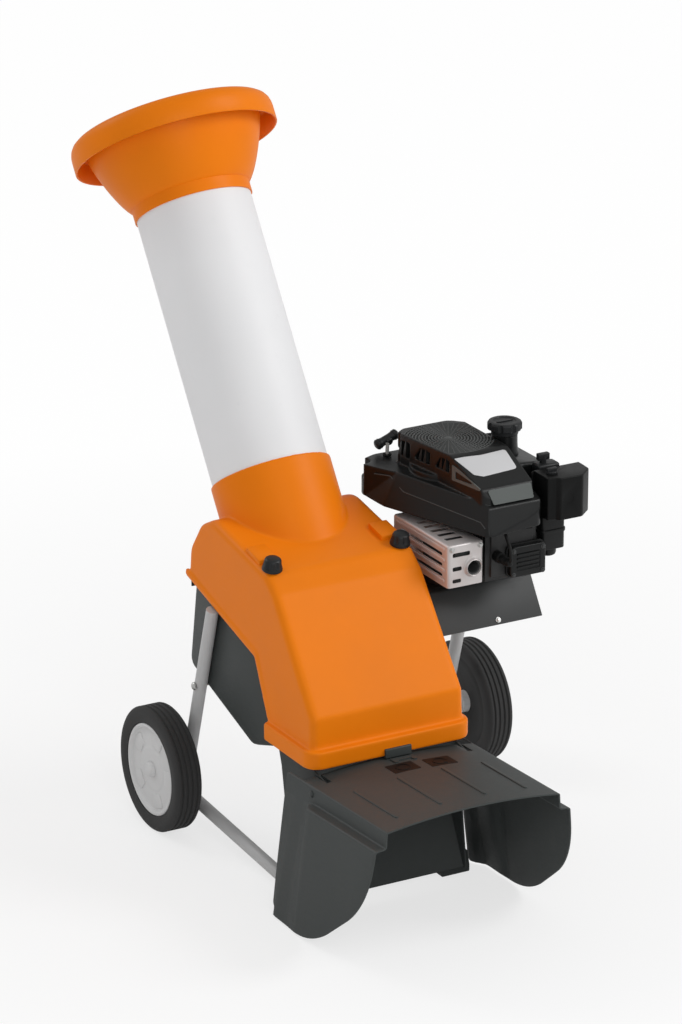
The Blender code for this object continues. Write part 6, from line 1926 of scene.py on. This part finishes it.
@dataclass
class Engine(SubAssembly):
    """Cast block and head, ribbed valve cover, spark plug with its lead, and the carburettor."""

    head_front: float = -0.376
    bottom: float = 0.548

    def build(self) -> None:
        """Build and place the pieces."""
        # The near-black casting colour of these three pieces is painted shade.
        self.refine("engine_block", Finishes.DARK_CAST, 0.0006, 1, 40.0)
        self.refine("cylinder_head", Finishes.DARK_CAST, 0.0006, 1, 40.0)
        self.refine("carburettor", Finishes.DARK_CAST, 0.001, 2, 40.0)
        self.show(self.valve_cover(), Finishes.ENGINE_BLACK, "valve_cover")
        self.show(self.boot(), Finishes.GRILLE_BLACK, "spark_plug")
        self.show(self.intake(), Finishes.ENGINE_BLACK)
        lead = Bench.pipe("ignition_lead", mm((172, -417, 596.5), (172, -430, 598.5), (172.5, -424, 628),
            (176, -388, 662)), 0.0032, [0.008, 0.014], 6)
        self.show(lead, Finishes.GRILLE_BLACK)
        for index, (x, z) in enumerate(((0.2005, 0.556), (0.2655, 0.556), (0.2005, 0.604),
                (0.2655, 0.604))):
            self.show(Chassis.bolt(f"valve_cover_screw_{index}", (x, -0.3922, z), (0, -1, 0), 0.0036,
                0.003), Finishes.BLACK_STEEL)

    def valve_cover(self) -> Item:
        """Make the ribbed valve cover.

        Returns:
            The cover.
        """
        back = self.head_front - 0.0003
        low, high = self.bottom + 0.002, 0.612
        plan = fillet([(0.194, low, 0.009), (0.272, low, 0.009), (0.272, high, 0.009),
            (0.194, high, 0.009)], 6)
        cover = Bench.prism("ribbed_valve_cover", plan, Axis.Y, back - 0.016, back)
        Bench.soften(cover, 0.0028, 3, 60.0)
        field_tool = Bench.box("field", (0.2065, back - 0.03, low + 0.013),
            (0.2595, back - 0.0142, high - 0.013), 0.002, 2)
        Bench.cut(cover, field_tool)
        for index in range(4):
            z = low + 0.018 + 0.0085 * index
            rib = Bench.box("rib", (0.2085, back - 0.0168, z), (0.2575, back - 0.01, z + 0.0032), 0.0009, 2)
            Bench.fuse(cover, rib)
        flange = Bench.prism("flange", inset_loop(plan, -0.0028), Axis.Y, back - 0.004, back)
        Bench.soften(flange, 0.001, 2, 60.0)
        return Bench.join(cover, flange)

    def intake(self) -> Item:
        """Make the duct that carries air from the filter down to the carburettor, with its float bowl.

        Returns:
            The duct.
        """
        plan = fillet(mm((281, -364, 8), (333, -364, 8), (333, -322, 6), (281, -322, 6)), 5)
        duct = Bench.prism("intake_duct", plan, Axis.Z, 0.58, 0.6605)
        Bench.soften(duct, 0.002, 3, 60.0)
        band = Bench.prism("band", inset_loop(plan, -0.0022), Axis.Z, 0.614, 0.621)
        Bench.soften(band, 0.001, 2, 60.0)
        bowl = Bench.lathe("bowl", mm((0, 564), (11, 564), (15, 566.5), (16.5, 571), (16.5, 582), (0, 582)),
            48, (0.306, -0.343, 0.0))
        return Bench.join(duct, band, bowl)

    def boot(self) -> Item:
        """Turn the rubber boot over the spark plug."""
        profile = mm((0, 52), (3, 51.8), (6.2, 50), (8, 46), (8.6, 40), (8, 38.5), (8.8, 36.5), (8.2, 34.5),
            (9, 32.5), (8.4, 30.5), (9.2, 28), (9.5, 20), (11, 18), (11.2, 6), (10.6, 0), (0, 0))
        return Bench.lathe("ribbed_plug_boot", profile, 48, (0.172, self.head_front - 0.0003, 0.5965),
            (0, -1, 0))


@dataclass
class FuelTank(SubAssembly):
    """Rounded tank with a parting seam, a tall neck and a lobed cap."""

    neck: tuple[float, float] = (0.27, -0.239)
    bottom: float = 0.652
    top: float = 0.748
    cap_top: float = 0.81

    def build(self) -> None:
        """Build and place the pieces."""
        self.show(self.tank(), Finishes.ENGINE_BLACK, "fuel_tank")
        self.show(self.cap(), Finishes.KNOB_BLACK, "fuel_cap")

    def block(self, name: str, inset: float) -> Item:
        """Make the tank's rounded block, or the room inside it.

        Args:
            name: The block's name.
            inset: 0 for the outside, or the wall's thickness.

        Returns:
            The block.
        """
        left, right, front, back = 0.248 + inset, 0.335 - inset, -0.318 + inset, -0.125 - inset
        plan = fillet([(left, front, 0.011 - inset), (right, front, 0.026 - inset),
            (right, back, 0.031 - inset), (left, back, 0.011 - inset)], 7)
        block = Bench.prism(name, plan, Axis.Z, self.bottom + inset, self.top - inset)
        Bench.bevel(block, 0.0085 - inset, 4, is_level)
        return Bench.reshape(block, lambda point: point - Vector((0.0, 0.0, self.shoulder(point, inset))))

    def shoulder(self, point: Vector, inset: float) -> float:
        """Return how far the tank's top falls away towards its right side.

        Args:
            point: A point of the tank.
            inset: 0 for the outside, or the wall's thickness.
        """
        across = min(1.0, max(0.0, (point.x - 0.292) / (0.335 - inset - 0.292)))
        rise = max(0.0, (point.z - 0.705) / (self.top - 0.705))
        return 0.026 * across * across * rise

    def tank(self) -> Item:
        """Make the tank with its seam, neck and feet.

        Returns:
            The tank.
        """
        tank = self.block("rounded_fuel_tank", 0.0)
        seam_plan = fillet(mm((247.2, -319.2, 12), (336.4, -319.2, 27), (336.4, -123.8, 32),
            (247.2, -123.8, 12)), 7)
        seam = Bench.prism("seam", seam_plan, Axis.Z, 0.6985, 0.7025)
        Bench.soften(seam, 0.0009, 2, 60.0)
        x, y = self.neck
        stem = Bench.lathe("stem", mm((0, 738.5), (27.5, 738.5), (27.2, 750), (25.8, 756), (25.2, 764),
            (25, 783), (24, 784.2), (22, 784.6), (22, 798), (0, 798))[::-1], 72, (x, y, 0.0))
        Bench.fuse(tank, seam, stem)
        Bench.cut(tank, Bench.rod("bore", (x, y, 0.7), (x, y, 0.83), 0.019, 64), self.block("room", 0.003))
        arm = Bench.box("arm", (0.2303, -0.214, 0.6353), (0.27, -0.186, 0.6473), 0.002, 2)
        post = Bench.box("post", (0.26, -0.214, 0.638), (0.27, -0.186, 0.653), 0.0015, 2)
        return Bench.fuse(tank, arm, post)

    def cap(self) -> Item:
        """Make the lobed cap with its recessed top.

        Returns:
            The cap.
        """
        top, low, radius = self.cap_top, self.cap_top - 0.025, 0.0335
        profile = [(0.0, top - 0.0022), (0.0195, top - 0.0022), (0.0215, top - 0.0016),
            (0.0225, top - 0.0002), (0.024, top), (0.029, top - 0.0002), (radius - 0.0018, top - 0.0014),
            (radius, top - 0.0042), (radius, low + 0.0098), (radius - 0.001, low + 0.0086),
            (radius - 0.006, low + 0.0076), (radius - 0.0072, low + 0.006), (radius - 0.0072, low),
            (0.0226, low), (0.0226, 0.7985), (0.0, 0.7985)]
        cap = Bench.lathe("lobed_fuel_cap", profile, 128, (*self.neck, 0.0))
        scallop = Bench.rod("scallop", (radius + 0.004, 0.0, low + 0.006),
            (radius + 0.004, 0.0, top + 0.01), 0.0072, 32)
        tools = Bench.array_turned(scallop, 8)
        for tool in tools:
            tool.location = (*self.neck, 0.0)
            Bench.cut(cap, Bench.put(tool))
        bar = Bench.box("bar", (self.neck[0] - 0.0175, self.neck[1] - 0.0022, top - 0.003),
            (self.neck[0] + 0.0175, self.neck[1] + 0.0022, top - 0.0002), 0.0009, 2)
        Bench.join(cap, bar)
        return Bench.soften(cap, 0.0004, 2, 45.0)


@dataclass
class AirFilter(SubAssembly):
    """Filter box with its catch, its second knob and a bare round place on the front."""

    left: float = 0.2645
    right: float = 0.365
    front: float = -0.42
    back: float = -0.355
    bottom: float = 0.66
    top: float = 0.745

    def build(self) -> None:
        """Build and place the pieces."""
        self.refine("air_filter_base", Finishes.GRILLE_BLACK, 0.0008, 2, 40.0)
        self.show(self.cover(), Finishes.FILTER_BLACK, "air_filter_cover")
        self.show(self.dial(), Finishes.KNOB_BLACK, "filter_knob")
        self.show(self.tee(), Finishes.KNOB_BLACK)

    def cover(self) -> Item:
        """Make the box with its stepped front corner and rounded edges.

        Returns:
            The box.
        """
        left, right, front, back = self.left, self.right, self.front, self.back
        plan = fillet([(left, back), (left, front + 0.012, 0.004), (left + 0.016, front + 0.008, 0.004),
            (left + 0.022, front, 0.005), (right - 0.03, front, 0.013), (right, front + 0.026, 0.013),
            (right, back)], 6)
        cover = Bench.prism("filter_box", plan, Axis.Z, self.bottom, self.top)
        Bench.bevel(cover, 0.0055, 4, lambda edge: is_level(edge)
            and max(vertex.co.y for vertex in edge.verts) < back - 0.0001)
        place = (0.3019, front, 0.7026)
        Bench.cut(cover, Bench.rod("bare_place", (place[0], front - 0.01, place[2]),
            (place[0], front + 0.0006, place[2]), 0.0125, 64))
        x, y = left + 0.022, back - 0.03
        Bench.cut(cover, Bench.rod("hole", (x, y, self.top - 0.02), (x, y, self.top + 0.01), 0.0043, 28))
        Bench.cut(cover, Bench.box("room", (left + 0.0025, front + 0.03, self.bottom + 0.006),
            (right - 0.0025, back + 0.02, self.top - 0.006)))
        for index in range(3):
            z = self.bottom + 0.014 + 0.008 * index
            Bench.cut(cover, Bench.box("groove", (right - 0.0012, front + 0.034, z),
                (right + 0.01, back - 0.004, z + 0.0032)))
        return Bench.soften(cover, 0.0005, 2, 50.0)

    def dial(self) -> Item:
        """Make the turning catch, toothed round its edge, with an upright grip.

        Returns:
            The catch.
        """
        x, y, top = self.left + 0.022, self.back - 0.03, self.top + 0.0003
        dial = Bench.lathe("toothed_catch", mm((0, 5), (7, 5), (10, 4.6), (11.2, 3.4), (11.2, 0), (4, 0),
            (4, -5), (0, -5)), 60, (x, y, top))
        bar = Bench.box("bar", (x - 0.0105, y - 0.0035, top + 0.003),
            (x + 0.0105, y + 0.0035, top + 0.0115), 0.0016, 3)
        Bench.fuse(dial, bar)
        notch = Bench.rod("notch", (0.0116, 0.0, -0.002), (0.0116, 0.0, 0.012), 0.0014, 10)
        for tool in Bench.array_turned(notch, 12):
            tool.location = (x, y, top)
            Bench.cut(dial, Bench.put(tool))
        return dial

    def tee(self) -> Item:
        """Make the tall tee-shaped knob on its block behind the box.

        Returns:
            The knob with its block.
        """
        x, y, top = 0.2965, -0.337, 0.75
        block = Bench.box("tee_knob", (x - 0.017, y - 0.015, 0.7), (x + 0.03, y + 0.015, top), 0.005, 3)
        stem = Bench.lathe("stem", mm((0, 14), (6.2, 14), (6.6, 0), (8.8, -1.2), (0, -1.2)), 32,
            (x, y, top))
        bar = Bench.box("bar", (x - 0.0125, y - 0.0055, top + 0.006),
            (x + 0.0125, y + 0.0055, top + 0.0195), 0.0018, 3)
        return Bench.fuse(block, stem, bar)


@dataclass
class Exhaust(SubAssembly):
    """Muffler in a bright slotted guard, with a flared outlet."""

    left: float = 0.054
    right: float = 0.132
    front: float = -0.395
    back: float = -0.187
    bottom: float = 0.557
    top: float = 0.642
    sheet: float = 0.0015
    outlet: tuple[float, float] = (0.108, 0.5925)

    def build(self) -> None:
        """Build and place the pieces."""
        self.refine("muffler", Finishes.BLACK_STEEL, 0.0008, 2, 40.0)
        self.show(self.guard(), Finishes.BRIGHT, "muffler_guard")
        x, z = self.outlet
        ring = mm((15.2, -1), (19.6, -1), (20, 0.4), (18.6, 1.6), (17.2, 4), (16.6, 7.2), (15.8, 7.8),
            (15, 7), (14.4, 3))
        self.show(Bench.lathe("flared_outlet", ring, 72, (x, self.front, z), (0, -1, 0), True),
            Finishes.BRIGHT)
        for index, (x, z) in enumerate(((0.0625, 0.6335), (0.124, 0.6335))):
            self.show(Chassis.bolt(f"guard_screw_{index}", (x, self.front - 0.0001, z), (0, -1, 0), 0.004,
                0.0032), Finishes.ZINC)

    def box(self, name: str, inset: float) -> Item:
        """Make the guard as a solid, or the room inside it.

        Args:
            name: The solid's name.
            inset: 0 for the outside, or the sheet's thickness.

        Returns:
            The solid.
        """
        left, right, front, back = (self.left + inset, self.right - inset, self.front + inset,
            self.back - inset)
        plan = fillet([(left, front, 0.007 - inset), (right, front, 0.007 - inset),
            (right, self.front + 0.13 - inset * 0.4, 0.006),
            (right - 0.026, self.front + 0.15 - inset * 0.4, 0.006), (right - 0.026, back, 0.005 - inset),
            (left, back, 0.005 - inset)], 5)
        block = Bench.prism(name, plan, Axis.Z, self.bottom - inset * 4, self.top - inset)
        return Bench.bevel(block, 0.006 - inset, 4, above(self.top - inset - 1e-4))

    def guard(self) -> Item:
        """Make the guard with its rows of slots.

        Returns:
            The guard.
        """
        left, front, back = self.left, self.front, self.back
        guard = self.box("slotted_guard", 0.0)
        for level in range(4):
            z = self.bottom + 0.0085 + 0.021 * level
            ridge = Bench.box("ridge", (left - 0.0012, front + 0.014, z),
                (left + 0.004, back - 0.012, z + 0.0062), 0.0011, 2)
            Bench.fuse(guard, ridge)
        Bench.cut(guard, self.box("room", self.sheet))
        slots = []
        for level in range(3):
            z = self.bottom + 0.018 + 0.021 * level
            slots.append(Bench.box("slot", (left - 0.01, front + 0.022, z),
                (left + 0.01, back - 0.03, z + 0.0064), 0.0026, 3))
        for index in range(5):
            y = front + 0.03 + 0.026 * index
            slots.append(Bench.box("slot", (left + 0.014, y, self.top - 0.01),
                (left + 0.052, y + 0.013, self.top + 0.01), 0.0022, 3))
        for z, width, height in ((self.outlet[1] + 0.025, 0.038, 0.0085),
                (self.outlet[1] - 0.003, 0.02, 0.0085), (self.outlet[1] - 0.027, 0.019, 0.008)):
            slots.append(Bench.box("slot", (left + 0.01, front - 0.01, z),
                (left + 0.01 + width, front + 0.008, z + height), 0.0026, 3))
        x, z = self.outlet
        slots.append(Bench.rod("outlet", (x, front - 0.02, z), (x, front + 0.02, z), 0.0158, 48))
        slots.append(Bench.box("side", (self.right - 0.01, front + 0.052, self.bottom - 0.01),
            (self.right + 0.01, front + 0.118, self.top - 0.016)))
        Bench.cut(guard, *slots)
        return Bench.soften(guard, 0.0003, 1, 55.0)


@dataclass
class StarterPull(SubAssembly):
    """Grip of the recoil starter and the short stretch of rope that shows."""

    place: tuple[float, float, float] = (0.111, -0.062, 0.744)
    aim: tuple[float, float, float] = (1.0, 0.0, 0.38)
    half: float = 0.0265
    lobe_top: float = 0.722

    def build(self) -> None:
        """Build and place the pieces."""
        self.show(self.grip(), Finishes.KNOB_BLACK, "starter_grip")
        x, y, z = self.place
        foot = Vector((x - 0.012, y - 0.0235, self.lobe_top))
        bush = Bench.lathe("rope_bush", mm((4.2, -1), (8.5, -1), (9, 1.2), (8, 3), (5.8, 3.4), (4.4, 2.4)),
            48, foot, closed=True)
        self.show(bush, Finishes.GRILLE_BLACK)
        knot = Vector((x - 0.004, y - 0.011, z - 0.005))
        rope = Bench.pipe("starter_rope", [foot - Vector((0.0, 0.0, 0.012)),
            foot + Vector((0.0, 0.0, 0.006)), knot, knot + Vector((0.0, 0.01, 0.0))], 0.0036,
            [0.006, 0.004], 6)
        with Bench.editing(rope):
            bpy.ops.mesh.subdivide(number_cuts=2)
        self.show(rope, Finishes.CORD, body="")
        start, end = (point + self.shift for point in (foot, knot))
        tuple(start)
        tuple(end)
        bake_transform(rope)

    def grip(self) -> Item:
        """Make the waisted grip with ribbed ends.

        Returns:
            The grip.
        """
        half = self.half
        side = flow([(0.0072, half - 0.0012), (0.0098, half - 0.0036), (0.0102, half - 0.008),
            (0.0088, 0.01), (0.0086, 0.0), (0.0088, -0.01), (0.0102, 0.008 - half), (0.0098, 0.0036 - half),
            (0.0072, 0.0012 - half)], 4)
        profile = [(0.0, half), (0.0044, half), *side, (0.0044, -half), (0.0, -half)]
        grip = Bench.lathe("waisted_grip", profile, 56, self.place, self.aim)
        boss = Bench.lathe("boss", mm((0, 12.5), (6.2, 12.5), (7.4, 11), (7.8, 0), (0, 0)), 36, self.place,
            (0.15, -1, -0.2))
        Bench.fuse(grip, boss)
        for offset in (-0.0215, -0.0165, 0.0165, 0.0215):
            middle = Vector(self.place) + Vector(self.aim).normalized() * offset
            ring = Bench.lathe("ring", mm((9.6, -1), (10.8, 0), (9.6, 1), (9, 0)), 56, middle, self.aim,
                True)
            Bench.join(grip, ring)
        return grip


# Stage


@dataclass
class Studio:
    """Camera, pale floor, white surroundings and soft lamps."""

    stand: tuple[float, float, float] = (-4.433, -7.827, 3.971)
    target: tuple[float, float, float] = (-0.124, -0.171, 0.714)
    lens: float = 175.78
    ambient: float = 0.46
    lamps: dict[str, tuple[tuple[float, float, float], float,
        float]] = field(default_factory=lambda: {"key_panel": ((4.0, -3.2, 4.6), 2.8, 165.0),
        "front_panel": ((-1.6, -5.2, 3.2), 2.4, 55.0), "rear_panel": ((-2.6, 3.4, 3.6), 2.2, 45.0),})

    def build(self) -> None:
        """Set up the camera, the floor, the surroundings and the lamps."""
        bpy.context.scene.view_settings.view_transform = "Standard"
        self.camera()
        self.floor()
        self.surroundings()
        for name, (place, size, power) in self.lamps.items():
            self.panel(name, place, size, power)

    def camera(self) -> None:
        """Stand the camera where the photograph was taken from."""
        bpy.ops.object.camera_add(location=self.stand)
        camera = bpy.context.object
        camera.name = "photo_camera"
        camera.rotation_euler = (Vector(self.target) - camera.location).to_track_quat("-Z", "Y").to_euler()
        camera.data.lens = self.lens
        camera.data.sensor_width = 36.0
        camera.data.clip_end = 200.0
        bpy.context.scene.camera = camera

    @staticmethod
    def seen(graph: "Graph") -> Wire:
        """Return 1 for camera and transmission rays, a share for glossy ones, and 0 for diffuse light."""
        rays = [graph.add("ShaderNodeLightPath", out=name)
            for name in ("Is Camera Ray", "Is Glossy Ray", "Is Transmission Ray")]
        return (rays[0] + rays[1] * 0.3 + rays[2]).held()

    def floor(self) -> None:
        """Lay a pale floor that keeps the machine's shadow."""
        bpy.ops.mesh.primitive_plane_add(size=70.0, location=(0.0, 0.0, -0.0004))
        floor = bpy.context.object
        floor.name = "pale_floor"
        recipe = Recipe("pale_floor")
        recipe.surface((0.97, 0.97, 0.97), 0.85, 0.0)
        recipe.shader.inputs["Specular IOR Level"].default_value = 0.1
        glow = recipe.add("ShaderNodeEmission", {}, {"Color": (1.0, 1.0, 1.0), "Strength": 1.0}, "Emission")
        reach = recipe.add("ShaderNodeVectorMath", {"operation": "LENGTH"}, {0: recipe.place()}, "Value")
        bright = ((reach - 0.8) * 0.7).held() * 0.28 + 0.7
        mixed = recipe.add("ShaderNodeMixShader", {}, {"Fac": self.seen(recipe) * bright,
            1: Wire(recipe, recipe.shader.outputs["BSDF"]), 2: glow}, "Shader")
        recipe.feed(recipe.tree.nodes["Material Output"].inputs["Surface"], mixed)
        floor.data.materials.append(recipe.material)

    def surroundings(self) -> None:
        """Make the surroundings white to look at and soft as light."""
        world = bpy.data.worlds.new("white_surroundings")
        world.use_nodes = True
        bpy.context.scene.world = world
        graph = Graph(world.node_tree)
        strength = self.seen(graph) * (1.0 - self.ambient) + self.ambient
        background = world.node_tree.nodes["Background"]
        graph.feed(background.inputs["Color"], (1.0, 1.0, 1.0))
        graph.feed(background.inputs["Strength"], strength)

    def panel(self, name: str, place: Sequence[float], size: float, power: float) -> None:
        """Hang one soft lamp that looks at the machine.

        Args:
            name: The lamp's name.
            place: Where it hangs.
            size: Its width.
            power: Its power in watts.
        """
        bpy.ops.object.light_add(type="AREA", location=place)
        lamp = bpy.context.object
        lamp.name = name
        lamp.data.shape = "DISK"
        lamp.data.size = size
        lamp.data.energy = power
        lamp.rotation_euler = (Vector(self.target) - lamp.location).to_track_quat("-Z", "Y").to_euler()


def main() -> None:
    """Build every piece and set up the stage."""
    logging.basicConfig(level=logging.INFO, format="%(message)s", force=True)
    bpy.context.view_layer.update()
    Studio().build()
    sub_assemblies = [Feed(), Hood(), EngineCover(), Chute(), Exhaust(), FuelTank(), AirFilter(), Engine(),
        *(Wheel(name, side) for name, side in SIDES), Chassis(), Deck(), StarterPull(), Cutter()]
    for sub_assembly in sub_assemblies:
        LOG.info("building: %s", type(sub_assembly).__name__)
        sub_assembly.build()


if __name__ == "__main__":
    main()
